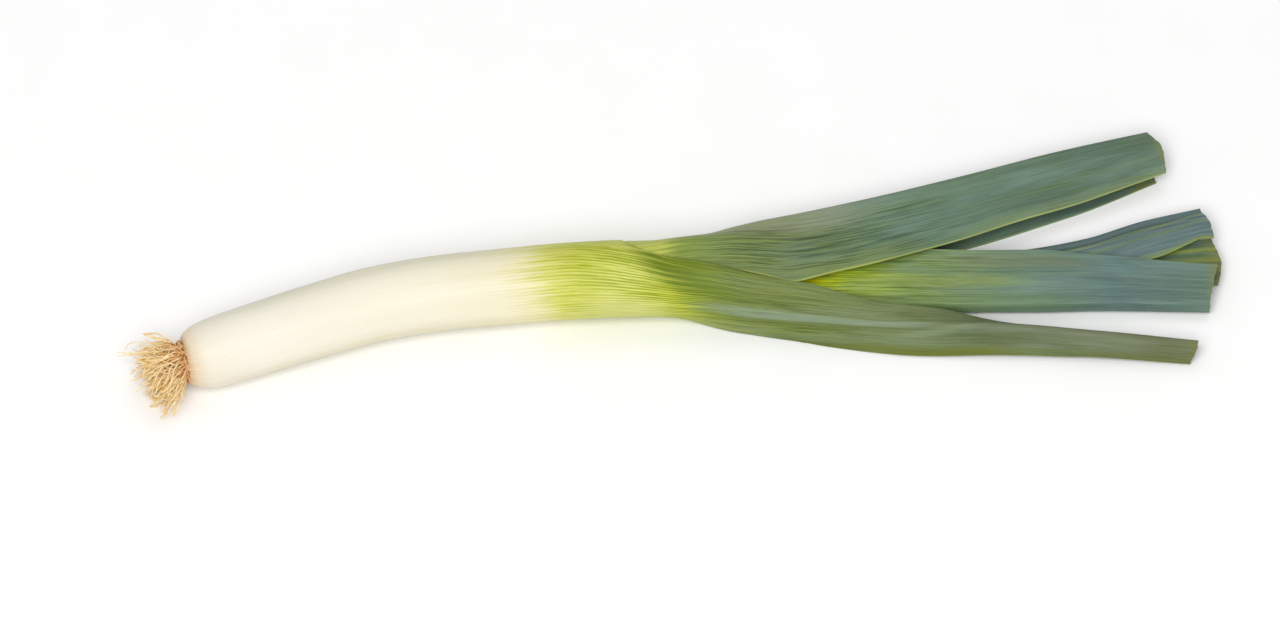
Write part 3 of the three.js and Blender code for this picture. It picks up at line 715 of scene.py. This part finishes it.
SMOOTH = {"interpolation_type": "SMOOTHSTEP"}
TIMES = {"operation": "MULTIPLY"}
PLUS = {"operation": "ADD"}
COLOURS = {"data_type": "RGBA"}
TINTED = {"data_type": "RGBA", "blend_type": "MULTIPLY"}

# Noises drawn out along a leaf: features in each metre across it and along it, detail and shift.
LEAF_NOISES = {
    "streaks": (480, 15, 5, 0),  # 2.1 mm across and 70 mm long
    "fibres": (1400, 55, 4, 0),  # 0.7 mm across and 18 mm long
    "scores": (760, 26, 4, 5.3),  # 1.3 mm across and 40 mm long
    "clouds": (75, 16, 4, 2.1),  # 13 mm across and 60 mm long
}
WAVE_PERIOD = 0.3142  # the wave node's own period, in its units
VEIN_STRETCH = 0.03  # how much slower the veins wander along the leaf than across it
# Stretches of x over which the skin changes, in metres.
GREEN_BEGINS = (-0.03, 0.01)
RIBS_FADE = (0.045, 0.1)
WAX_BEGINS = (0.055, 0.12)
CONTRAST_FADES = (0.09, 0.21)
# The upper and the lower margin's line: where it begins and is full, from margin to margin.
RIMS = [(0.014, 0.004), (0.986, 0.996)]
# Wax and wet tissue: a soft gloss, and a little light that goes 1.5 mm in and comes out yellow.
LEAF_FLESH = {
    "IOR": 1.42,
    "Specular IOR Level": 0.38,
    "Subsurface Weight": 0.08,
    "Subsurface Radius": (1.0, 0.9, 0.4),
    "Subsurface Scale": 1.5 * MM,
}


def linear(hex_colour):
    """A linear colour from an sRGB hex value."""
    parts = [int(hex_colour[i : i + 2], 16) / 255 for i in (1, 3, 5)]
    return [c / 12.92 if c <= 0.04045 else ((c + 0.055) / 1.055) ** 2.4 for c in parts] + [1.0]


def set_inputs(tree, node, inputs):
    """Gives a node's inputs, in order or by name, their values or links."""
    for key, value in inputs.items() if isinstance(inputs, dict) else enumerate(inputs):
        if isinstance(value, bpy.types.NodeSocket):
            tree.links.new(value, node.inputs[key])
        else:
            node.inputs[key].default_value = value


def add(tree, kind, inputs=(), output=0, **settings):
    """Adds a shader node with its settings and inputs, and returns one of its outputs."""
    node = tree.nodes.new("ShaderNode" + kind)
    for key, value in settings.items():
        setattr(node, key, value)
    set_inputs(tree, node, inputs)
    return node.outputs[output]


def new_material(name):
    material = bpy.data.materials.new(name)
    material.use_nodes = True
    tree = material.node_tree
    return material, tree, tree.nodes["Principled BSDF"]


def tissue_colours(tree, place, tissue):
    """Two colours at a place along the leaf: between the veins, and on them."""
    low, high = tissue[0][0], tissue[-1][0]
    share = add(tree, "MapRange", (place, low * MM, high * MM))
    ramps = []
    for which in (1, 2):
        ramp = add(tree, "ValToRGB", [share])
        points = ramp.node.color_ramp.elements
        while len(points) < len(tissue):
            points.new(1.0)
        for point, stop in zip(points, tissue):
            point.position = (stop[0] - low) / (high - low)
            point.color = linear(stop[which])
        ramps.append(ramp)
    return ramps


def leaf_marks(tree, spec):
    """What a leaf's skin is made of: the place along it and from margin to margin, its noises and
    veins, and where the ribs fade and the wax begins."""
    veins = add(tree, "UVMap", uv_map="veins")
    side = add(tree, "SeparateXYZ", [add(tree, "UVMap", uv_map="edge")])
    marks = SimpleNamespace(side=side, along=side.node.outputs["Y"])
    for name, (across, lengthwise, detail, shift) in LEAF_NOISES.items():
        scale = (across, lengthwise, 1)
        place = add(tree, "Mapping", {0: veins, "Location": (shift, shift, 0), "Scale": scale})
        noise = {"Vector": place, "Scale": 1, "Detail": detail, "Roughness": 0.6}
        setattr(marks, name, add(tree, "TexNoise", noise))
    # Veins stand 1.3 mm apart, and are drawn a little coarser so that they show from a step away.
    pitch = WAVE_PERIOD / (spec["vein_pitch"] * MM)
    lines = add(tree, "Mapping", {0: veins, "Scale": (1, VEIN_STRETCH, 1)})
    wave = {"Vector": lines, "Scale": pitch, "Distortion": 1.6, "Detail": 2, "Detail Scale": 0.3}
    marks.wave = add(tree, "TexWave", wave, "Fac")
    marks.ribbed = add(tree, "MapRange", (marks.along, *RIBS_FADE, 1.0, 0.4), **SMOOTH)
    marks.waxed = add(tree, "MapRange", (marks.along, *WAX_BEGINS), **SMOOTH)
    return marks


def veined_tissue(tree, marks, spec):
    """White, yellow-green and green tissue along the leaf, with darker veins."""
    # The lower side is greener later than the upper side, and the streaks break up the edge.
    low, high, shift = spec["later"]
    later = add(tree, "MapRange", (marks.side, low, high, 0.0, -shift * MM), **SMOOTH)
    ragged = add(tree, "MapRange", (marks.streaks, 0.25, 0.75, -6 * MM, 6 * MM))
    place = add(tree, "Math", (add(tree, "Math", (marks.along, later), **PLUS), ragged), **PLUS)
    pale, deep = tissue_colours(tree, place, spec["tissue"])
    # Some veins stand out more than others. Past the neck they fade among streaks and fibres.
    strength = add(tree, "MapRange", (marks.scores, 0.3, 0.7, 0.4, 1.15), **SMOOTH)
    strength = add(tree, "Math", (strength, marks.ribbed), **TIMES)
    vein = add(tree, "MapRange", (marks.wave, 0.25, 0.8, -0.5, 0.4), **SMOOTH)
    vein = add(tree, "Math", (vein, strength), **TIMES)
    for noise, reach in ((marks.streaks, 0.36), (marks.fibres, 0.5)):
        grain = add(tree, "MapRange", (noise, 0.3, 0.7, -reach, reach), **SMOOTH)
        vein = add(tree, "Math", (vein, grain), **PLUS)
    contrast = add(tree, "MapRange", (marks.along, *CONTRAST_FADES, 1.25, 0.6), **SMOOTH)
    vein = add(tree, "Math", (vein, contrast), **TIMES)
    vein = add(tree, "Math", (vein, 0.48), use_clamp=True, **PLUS)
    return add(tree, "Mix", {0: vein, 6: pale, 7: deep}, 2, **COLOURS)


def stretch_mask(tree, marks, stretch):
    """A soft-edged mask over a patch's stretch of the leaf, at its amount and in its grain."""
    low, high, soft = [value * MM for value in stretch["x"]]
    near, far, blur = stretch["side"]
    slant = add(tree, "Math", (marks.side, -stretch["slant"] * MM), **TIMES)
    along = add(tree, "Math", (marks.along, slant), **PLUS)
    mask = stretch["amount"]
    for edge in (
        (along, low - soft, low + soft),
        (along, high + soft, high - soft),
        (marks.side, near - blur, near + blur),
        (marks.side, far + blur, far - blur),
    ):
        mask = add(tree, "Math", (mask, add(tree, "MapRange", edge, **SMOOTH)), **TIMES)
    noise, *spread = stretch["grain"]
    grain = add(tree, "MapRange", (getattr(marks, noise), *spread), **SMOOTH)
    return add(tree, "Math", (mask, grain), use_clamp=True, **TIMES)


def rim_mask(tree, marks, amounts):
    """A thin line along both margins, past the neck."""
    masks = [
        add(tree, "MapRange", (marks.side, inner, outer, 0.0, amount), **SMOOTH)
        for (inner, outer), amount in zip(RIMS, amounts)
    ]
    return add(tree, "Math", (add(tree, "Math", masks, operation="MAXIMUM"), marks.waxed), **TIMES)


def cloudy_shade(tree, marks, tint):
    """Lighter and darker clouds in the tint: the white part is more even than the green."""
    darkest = add(tree, "MapRange", (marks.along, *GREEN_BEGINS, 0.96, 0.9), **SMOOTH)
    lightest = add(tree, "MapRange", (marks.along, *GREEN_BEGINS, 1.0, 1.06), **SMOOTH)
    shade = add(tree, "MapRange", (marks.clouds, 0.25, 0.75, darkest, lightest))
    shade = add(tree, "CombineColor", (shade, shade, shade))
    return add(tree, "Mix", {0: 1.0, 6: shade, 7: tint}, 2, **TINTED)


def rib_relief(tree, marks):
    """Ribs and fibres: the sheath is smooth where it is white, and ribbed from the neck on."""
    ribs = add(tree, "Math", (add(tree, "Math", (marks.wave, marks.ribbed), **TIMES), -0.6), **TIMES)
    height = add(tree, "Math", (ribs, marks.fibres), **PLUS)
    rough = add(tree, "MapRange", (marks.along, *GREEN_BEGINS, 0.08, 1.0), **SMOOTH)
    height = add(tree, "Math", (height, rough), **TIMES)
    return add(tree, "Bump", {"Strength": 0.5, "Distance": 0.15 * MM, "Height": height})


def leaf_skin(spec, tint):
    """Leek leaf: white where it was earthed up, yellow-green at the neck, then blue-green under
    a thin wax. Parallel veins run along it, and the tissue between them is paler."""
    material, tree, shader = new_material(spec["name"] + "_skin")
    marks = leaf_marks(tree, spec)
    bloom_colour, amount = spec["bloom"]
    rim_colour, *rim_amounts = spec["rim"]
    # Wax bloom is pale and bluish, in clouds, only past the neck, and it dulls the skin.
    bloom = add(tree, "MapRange", (marks.clouds, 0.4, 0.68, 0.0, amount), **SMOOTH)
    bloom = add(tree, "Math", (bloom, marks.waxed), **TIMES)
    dull = add(tree, "MapRange", (marks.streaks, 0.2, 0.8, 0.38, 0.52), **SMOOTH)
    dull = add(tree, "Math", (dull, add(tree, "Math", (bloom, 0.3), **TIMES)), **PLUS)

    layers = [(bloom, bloom_colour)]
    layers += [(stretch_mask(tree, marks, each), each["colour"]) for each in spec["patches"]]
    layers += [(rim_mask(tree, marks, rim_amounts), rim_colour)]
    colour = veined_tissue(tree, marks, spec)
    for mask, laid in layers:
        colour = add(tree, "Mix", {0: mask, 6: colour, 7: linear(laid)}, 2, **COLOURS)
    shade = cloudy_shade(tree, marks, tint)
    colour = add(tree, "Mix", {0: 1.0, 6: colour, 7: shade}, 2, **TINTED)
    relief = rib_relief(tree, marks)
    set_inputs(tree, shader, {"Base Color": colour, "Roughness": dull, "Normal": relief})
    set_inputs(tree, shader, LEAF_FLESH)
    return material


def root_skin(colours):
    """Leek root: a dry tan strand, browner where it leaves the plate, with darker spots."""
    material, tree, shader = new_material("dry_root")
    place = add(tree, "TexCoord", output="Object")
    # Spots are 2.4 mm across, and clumps of browner roots 11 mm.
    spots = add(tree, "TexNoise", {"Vector": place, "Scale": 420, "Detail": 4})
    clumps = add(tree, "TexNoise", {"Vector": place, "Scale": 90, "Detail": 2})
    centre = tuple(PLATE_CENTRE * MM)
    grown = add(tree, "VectorMath", (place, centre), "Value", operation="DISTANCE")
    colour = colours.root
    for spread, layer in (
        ((spots, 0.35, 0.7, 0.0, 1.0), colours.root_spot),
        ((clumps, 0.5, 0.75, 0.0, 0.35), colours.root_clump),
        ((grown, 15 * MM, 8 * MM, 0.0, 0.7), colours.root_base),
    ):
        mask = add(tree, "MapRange", spread, **SMOOTH)
        colour = add(tree, "Mix", {0: mask, 6: colour, 7: layer}, 2, **COLOURS)
    relief = add(tree, "Bump", {"Strength": 0.5, "Distance": 0.1 * MM, "Height": spots})
    set_inputs(tree, shader, {"Base Color": colour, "Roughness": 0.78, "Normal": relief})
    return material


def heart_skin(colours):
    """The youngest leaves, rolled up: pale yellow-green with fine veins."""
    material, tree, shader = new_material("heart_skin")
    place = add(tree, "TexCoord", output="Object")
    # The veins are 1.4 mm across and 71 mm long.
    stretch = add(tree, "Mapping", {"Vector": place, "Scale": (14, 700, 700)})
    streaks = add(tree, "TexNoise", {"Vector": stretch, "Scale": 1, "Detail": 3})
    vein = add(tree, "MapRange", (streaks, 0.35, 0.65), **SMOOTH)
    colour = add(tree, "Mix", {0: vein, 6: colours.heart, 7: colours.heart_vein}, 2, **COLOURS)
    set_inputs(tree, shader, {"Base Color": colour, "Roughness": 0.5})
    return material


def plate_skin(colours):
    """Basal plate: corky, orange-brown, with dark pits between the roots."""
    material, tree, shader = new_material("corky_plate")
    place = add(tree, "TexCoord", output="Object")
    # The pits are 1.9 mm across.
    pits = add(tree, "TexNoise", {"Vector": place, "Scale": 520, "Detail": 5})
    cork = add(tree, "MapRange", (pits, 0.35, 0.6), **SMOOTH)
    colour = add(tree, "Mix", {0: cork, 6: colours.plate_pit, 7: colours.plate}, 2, **COLOURS)
    relief = add(tree, "Bump", {"Strength": 0.8, "Distance": 0.5 * MM, "Height": pits})
    set_inputs(tree, shader, {"Base Color": colour, "Roughness": 0.85, "Normal": relief})
    return material


def floor_paper():
    """Studio paper: matt white, with a faint tooth."""
    material, tree, shader = new_material("studio_paper")
    place = add(tree, "TexCoord", output="Object")
    # The tooth is 33 mm across, and hardly seen.
    tooth = add(tree, "TexNoise", {"Vector": place, "Scale": 30, "Detail": 2})
    paper = {0: tooth, 6: linear("#FBFBFA"), 7: linear("#FFFFFF")}
    colour = add(tree, "Mix", paper, 2, **COLOURS)
    set_inputs(tree, shader, {"Base Color": colour, "Roughness": 0.9})
    return material


# ---- Roots --------------------------------------------------------------------------------------

PLATE_AXIS = np.array([-0.94, -0.341, 0.0])  # the way the plate faces
PLATE_SIDE = np.array([PLATE_AXIS[1], -PLATE_AXIS[0], 0.0])
PLATE_CENTRE = np.array([-174.5, -44.2, 15.9])
PLATE_RADIUS = 10.6
PLATE_PROUD = 3.2  # how far its middle stands out from the shank's end
PLATE_FALL = 1.2  # how much lower the plate is at its rim than at its middle
PLATE_SET = 0.4  # how far the plate's widest ring stands out from the shank's end
PLATE_BACK = 1.5  # how far the plate reaches into the shank
CORK_DEPTH = 0.5  # how far the cork's face lies behind where the roots come out
CORK_SHARE = 0.97  # the share of the plate's radius that the cork fills
CORK_BLUNTNESS = 0.6  # how squarely the cork's face meets its rim: 1 is as round as a ball
KNOBS = [(9, 1, 0.03), (17, 0, 0.025)]  # round the rim: number, phase and share of the radius
ROOTED = 0.84  # the share of the plate's radius that the roots grow from
ROOT_DEPTH = 1.5  # how deep a root starts inside the plate
GOLDEN_ANGLE = math.pi * (3 - math.sqrt(5))
ROOT_RISE = 0.3  # the share of its upward slope that a root keeps under its own weight
LEAN_VARIES, THICKNESS_VARIES = (0.75, 1.25), (0.7, 1.1)
HAIR_LENGTH = 0.9  # the length of a hair beside that of a root
LEAST_OUTWARD = 0.62  # the least part of a root's heading that points away from the plate
FAR_SHORTER = 0.45  # the share by which the roots on the far side are shorter
NEAR_SHORTER = 0.1  # and those on the near side
MOMENTUM = 0.6  # how much of its last turn a root keeps at the next step
RETURN = 0.12  # how strongly a root comes back to its first heading
TIP_THINNER = 0.5  # the share by which a strand is thinner at its tip
KNOBBLY, KNOB_PACE = 0.12, 2.1  # the share by which its thickness varies, radians for each step
ROOT_FLOOR = 0.75  # the least height of a root's middle
ROOT_CEILING = [[-44, 33], [-34, 24], [-24, 10]]  # y, and the height that roots stay below
# Roots and hairs that stand clear of the tuft: points on their way, and the root's radius.
STRAYS = [
    ([(-175.6, -43, 24), (-178.5, -39.8, 27), (-183.2, -38, 29.5), (-185.5, -36.2, 31)], 0.14),
    ([(-184, -38.4, 16), (-191.6, -38, 14), (-199.1, -37.1, 12), (-206.5, -35.3, 11)], 0.42),
    ([(-193, -38, 13), (-200.5, -37.4, 11.5), (-206.5, -36.9, 10)], 0.32),
    ([(-181, -39.5, 25), (-188.3, -36.4, 23.5), (-191.6, -34.5, 23), (-193.3, -33.2, 23.4)], 0.55),
    ([(-184, -38.5, 22), (-191.6, -36.5, 20), (-198.3, -34.8, 18.5), (-201.2, -35.4, 17),
      (-202.4, -37, 15.5)], 0.3),
]


def unit(v):
    return v / np.linalg.norm(v)


def plate_spokes(angle):
    """Directions from the plate's middle to its rim."""
    angle = np.asarray(angle)[..., None]
    return PLATE_SIDE * np.cos(angle) + UP * np.sin(angle)


def plate_points(sphere):
    """Lays a sphere out as the plate: flat and knobbly, with its back inside the shank."""
    angle = np.arctan2(sphere[:, 1], sphere[:, 0])
    knobs = 1 + sum(size * np.sin(count * angle + phase) for count, phase, size in KNOBS)
    ring = np.hypot(sphere[:, 0], sphere[:, 1]) ** CORK_BLUNTNESS
    ring = ring * PLATE_RADIUS * CORK_SHARE * knobs
    depth = np.where(sphere[:, 2] > 0, PLATE_PROUD - CORK_DEPTH, PLATE_BACK)
    face = PLATE_AXIS * (PLATE_SET + depth * sphere[:, 2])[:, None]
    return PLATE_CENTRE + face + plate_spokes(angle) * ring[:, None]


def root_line(rng, share, angle, settings, hair):
    """The middle of one root: it leaves the plate, wanders, and droops to the surface."""
    spoke = plate_spokes(angle)
    lean = settings.spread * share * rng.uniform(*LEAN_VARIES)
    heading = PLATE_AXIS * math.cos(lean) + spoke * math.sin(lean)
    heading[2] *= ROOT_RISE if heading[2] > 0 else 1
    heading = unit(heading)
    start = PLATE_CENTRE + PLATE_AXIS * (PLATE_PROUD - PLATE_FALL * share)
    start = start + spoke * ROOTED * PLATE_RADIUS * share - heading * ROOT_DEPTH
    length = rng.uniform(settings.shortest, settings.longest) / MM * (HAIR_LENGTH if hair else 1)
    length *= 1 - FAR_SHORTER * max(0, heading[1]) - NEAR_SHORTER * max(0, -heading[1])
    drift = np.zeros(3)
    first = heading
    line = [start]
    for _ in range(settings.root_steps):
        turn = np.array([rng.uniform(-1, 1) for _ in range(3)]) * settings.curl
        drift = MOMENTUM * drift + turn
        heading = heading + drift + RETURN * (first - heading)
        heading[2] -= settings.droop
        heading = unit(heading + PLATE_AXIS * max(0, LEAST_OUTWARD - heading @ PLATE_AXIS))
        point = line[-1] + heading * length / settings.root_steps
        point[2] = between(point[2], ROOT_FLOOR, value_at(ROOT_CEILING, point[1]))
        line.append(point)
    return line


def stray_line(points, steps):
    """A smooth line through a few points."""
    along = np.linspace(0, len(points) - 1, steps + 1)
    axes = [value_at([[i, p[axis]] for i, p in enumerate(points)], along) for axis in range(3)]
    return list(np.stack(axes, axis=-1))


def add_strand(curve, line, radius, phase):
    """Adds a strand along a line, a little knobbly, that gets thinner towards its tip."""
    spline = curve.splines.new("POLY")
    spline.points.add(len(line) - 1)
    for k, (point, at) in enumerate(zip(spline.points, line)):
        thinner = 1 - TIP_THINNER * k / (len(line) - 1)
        point.co = (*(at * MM), 1.0)
        point.radius = radius * thinner * (1 + KNOBBLY * math.sin(k * KNOB_PACE + phase))


def make_strands(settings):
    """The roots, then the hairs between them, then the strays, as one mesh."""
    rng = random.Random(settings.seed)
    curve = bpy.data.curves.new("root_strands", "CURVE")
    curve.dimensions = "3D"
    curve.bevel_depth = 1.0
    curve.bevel_resolution = 1
    curve.use_fill_caps = True
    for i in range(settings.roots + settings.hairs):
        hair = i >= settings.roots
        share = math.sqrt((i % settings.roots + 0.5) / settings.roots)
        line = root_line(rng, share, i * GOLDEN_ANGLE, settings, hair)
        radius = settings.hair_radius
        if not hair:
            radius = settings.root_radius * rng.uniform(*THICKNESS_VARIES)
        add_strand(curve, line, radius, i)
    for i, (points, radius) in enumerate(STRAYS):
        add_strand(curve, stray_line(points, settings.root_steps), radius * MM, i)
    strands = bpy.data.objects.new("root_strands", curve)
    bpy.context.scene.collection.objects.link(strands)
    select_only(strands)
    bpy.ops.object.convert(target="MESH")
    return bpy.context.object


# ---- What a user can change ---------------------------------------------------------------------


def colour_property(name, description, hex_colour):
    return bpy.props.FloatVectorProperty(
        name=name, description=description, default=linear(hex_colour), subtype="COLOR", size=4,
        min=0, max=1,
    )


def length_property(name, description, millimetres):
    return bpy.props.FloatProperty(
        name=name, description=description, default=millimetres * MM, unit="LENGTH", precision=5
    )


def count_property(name, description, default):
    return bpy.props.IntProperty(name=name, description=description, default=default)


def share_property(name, description, default):
    return bpy.props.FloatProperty(name=name, description=description, default=default)


class LeekShape(bpy.types.PropertyGroup):
    columns: count_property("Columns", "Faces across a leaf", 96)
    thickness: length_property("Leaf thickness", "Thickness of a leaf", SKIN_THICKNESS)


class LeekColours(bpy.types.PropertyGroup):
    leaf_tint: colour_property("Leaf tint", "Multiplies the colours of every leaf", "#FFFFFF")
    heart: colour_property("Heart", "Tissue of the rolled leaves", "#C4CC5A")
    heart_vein: colour_property("Heart veins", "Veins of the rolled leaves", "#93A43A")
    root: colour_property("Roots", "Most of a root", "#FDE7B8")
    root_spot: colour_property("Root spots", "Spots on a root", "#F0CC84")
    root_clump: colour_property("Root clumps", "Browner stretches of the tuft", "#DEA258")
    root_base: colour_property("Root bases", "A root where it leaves the plate", "#CC863C")
    plate: colour_property("Plate", "Cork of the basal plate", "#E0B27A")
    plate_pit: colour_property("Plate pits", "Pits between the roots", "#7E4416")


class LeekRoots(bpy.types.PropertyGroup):
    roots: count_property("Roots", "Number of roots", 300)
    hairs: count_property("Hairs", "Number of thin root hairs", 170)
    root_steps: count_property("Steps", "Bends along a root", 22)
    seed: count_property("Seed", "Draw of the roots", 20)
    root_radius: length_property("Root radius", "Radius of a root at the plate", 0.52)
    hair_radius: length_property("Hair radius", "Radius of a root hair", 0.18)
    shortest: length_property("Shortest", "Length of the shortest root", 14)
    longest: length_property("Longest", "Length of the longest root", 28)
    spread: bpy.props.FloatProperty(
        name="Spread", description="Angle of the outermost roots", default=0.88,
        subtype="ANGLE", unit="ROTATION",
    )
    droop: share_property("Droop", "Sag at each step", 0.06)
    curl: share_property("Curl", "Wander at each step", 0.3)


# ---- The steps of the work ----------------------------------------------------------------------


class LEEK_OT_outer_leaf(bpy.types.Operator):
    """Makes the outermost leaf: the white sheath round the shank, the neck and its blade"""

    bl_idname = "leek.outer_leaf"
    bl_label = "Outer leaf"

    def execute(self, context):
        columns = context.scene.leek_shape.columns
        points, maps = zip(shank_sheet(OUTER_LEAF, columns), blade_sheet(OUTER_LEAF, columns))
        joined = {key: np.concatenate([part[key] for part in maps]) for key in maps[0]}
        sheet = (np.concatenate(points), joined)
        leaf_piece(context, "outer_leaf", OUTER_LEAF, sheet, "shank", "shank", "leaf_1")
        return {"FINISHED"}


class LEEK_OT_inner_leaves(bpy.types.Operator):
    """Makes the four blades inside the outer leaf"""

    bl_idname = "leek.inner_leaves"
    bl_label = "Inner leaves"

    def execute(self, context):
        for leaf in INNER_LEAVES:
            sheet = blade_sheet(leaf, context.scene.leek_shape.columns)
            leaf_piece(context, leaf["name"] + "_blade", leaf, sheet, "leaf", leaf["name"])
        return {"FINISHED"}


class LEEK_OT_heart(bpy.types.Operator):
    """Makes the heart: the youngest leaves, still rolled tight inside the neck"""

    bl_idname = "leek.heart"
    bl_label = "Heart"

    def execute(self, context):
        heart = sphere_piece("heart", 48, heart_points)
        finish_piece(heart, heart_skin(context.scene.leek_colours), "leaf", "shank")
        return {"FINISHED"}


class LEEK_OT_roots(bpy.types.Operator):
    """Makes the basal plate and the tuft of roots that grows from it"""

    bl_idname = "leek.roots"
    bl_label = "Roots"

    def execute(self, context):
        colours = context.scene.leek_colours
        strands = make_strands(context.scene.leek_roots)
        finish_piece(strands, root_skin(colours), "roots", "roots")
        smooth_faces(strands, SOLID_ANGLE)
        plate = sphere_piece("basal_plate", 72, plate_points)
        finish_piece(plate, plate_skin(colours), "roots", "roots")
        return {"FINISHED"}


def look_rotation(direction):
    """The turn of a lamp or a camera that looks in a direction."""
    return Vector(direction).to_track_quat("-Z", "Y").to_euler()


def set_lamp(scene, name, place, size, power):
    light = bpy.data.lights.new(name, "AREA")
    light.size = size
    light.energy = power
    lamp = bpy.data.objects.new(name, light)
    scene.collection.objects.link(lamp)
    lamp.location = place
    lamp.rotation_euler = look_rotation(np.array(LAMP_TARGET) - np.array(place))


def set_camera(scene):
    camera = bpy.data.objects.new("camera", bpy.data.cameras.new("camera"))
    scene.collection.objects.link(camera)
    camera.data.lens = LENS
    camera.data.sensor_width = SENSOR
    camera.data.sensor_fit = "HORIZONTAL"
    camera.data.clip_end = SIGHT_END
    tilt = math.radians(CAMERA_ELEVATION)
    back = np.array([0, -math.cos(tilt), math.sin(tilt)])
    camera.location = (np.array(CAMERA_TARGET) + back * CAMERA_DISTANCE) * MM
    camera.rotation_euler = look_rotation(-back)
    scene.camera = camera


class LEEK_OT_stage(bpy.types.Operator):
    """Sets the floor, the lights and the camera"""

    bl_idname = "leek.stage"
    bl_label = "Stage"

    def execute(self, context):
        scene = context.scene
        select_only()
        bpy.ops.mesh.primitive_plane_add(size=FLOOR_SIZE, location=(0, 0, 0))
        floor = context.object
        floor.name = "floor"
        floor.data.materials.append(floor_paper())

        scene.world = bpy.data.worlds.new("studio")
        scene.world.use_nodes = True
        background = scene.world.node_tree.nodes["Background"]
        background.inputs["Color"].default_value = (1, 1, 1, 1)
        background.inputs["Strength"].default_value = AMBIENT
        for lamp in LAMPS:
            set_lamp(scene, *lamp)
        set_camera(scene)
        scene.view_settings.view_transform = "Standard"
        return {"FINISHED"}


class LEEK_PT_panel(bpy.types.Panel):
    """Lists the leek's measures and the steps that build it"""

    bl_idname = "LEEK_PT_panel"
    bl_label = "Leek"
    bl_space_type = "VIEW_3D"
    bl_region_type = "UI"
    bl_category = "Leek"

    def draw(self, context):
        scene = context.scene
        for group in (scene.leek_shape, scene.leek_roots, scene.leek_colours):
            for name in group.bl_rna.properties.keys():
                if name not in ("rna_type", "name"):
                    self.layout.prop(group, name)
        for step in STEPS:
            self.layout.operator(step.bl_idname)


STEPS = [
    LEEK_OT_outer_leaf, LEEK_OT_inner_leaves, LEEK_OT_heart, LEEK_OT_roots, LEEK_OT_stage,
]
CLASSES = [LeekShape, LeekRoots, LeekColours, *STEPS, LEEK_PT_panel]


def register():
    for cls in CLASSES:
        bpy.utils.register_class(cls)
    bpy.types.Scene.leek_shape = bpy.props.PointerProperty(type=LeekShape)
    bpy.types.Scene.leek_roots = bpy.props.PointerProperty(type=LeekRoots)
    bpy.types.Scene.leek_colours = bpy.props.PointerProperty(type=LeekColours)


def unregister():
    del bpy.types.Scene.leek_shape
    del bpy.types.Scene.leek_roots
    del bpy.types.Scene.leek_colours
    for cls in reversed(CLASSES):
        bpy.utils.unregister_class(cls)


def main():
    register()
    bpy.ops.leek.stage()
    bpy.ops.leek.outer_leaf()
    bpy.ops.leek.inner_leaves()
    bpy.ops.leek.heart()
    bpy.ops.leek.roots()


if __name__ == "__main__":
    main()
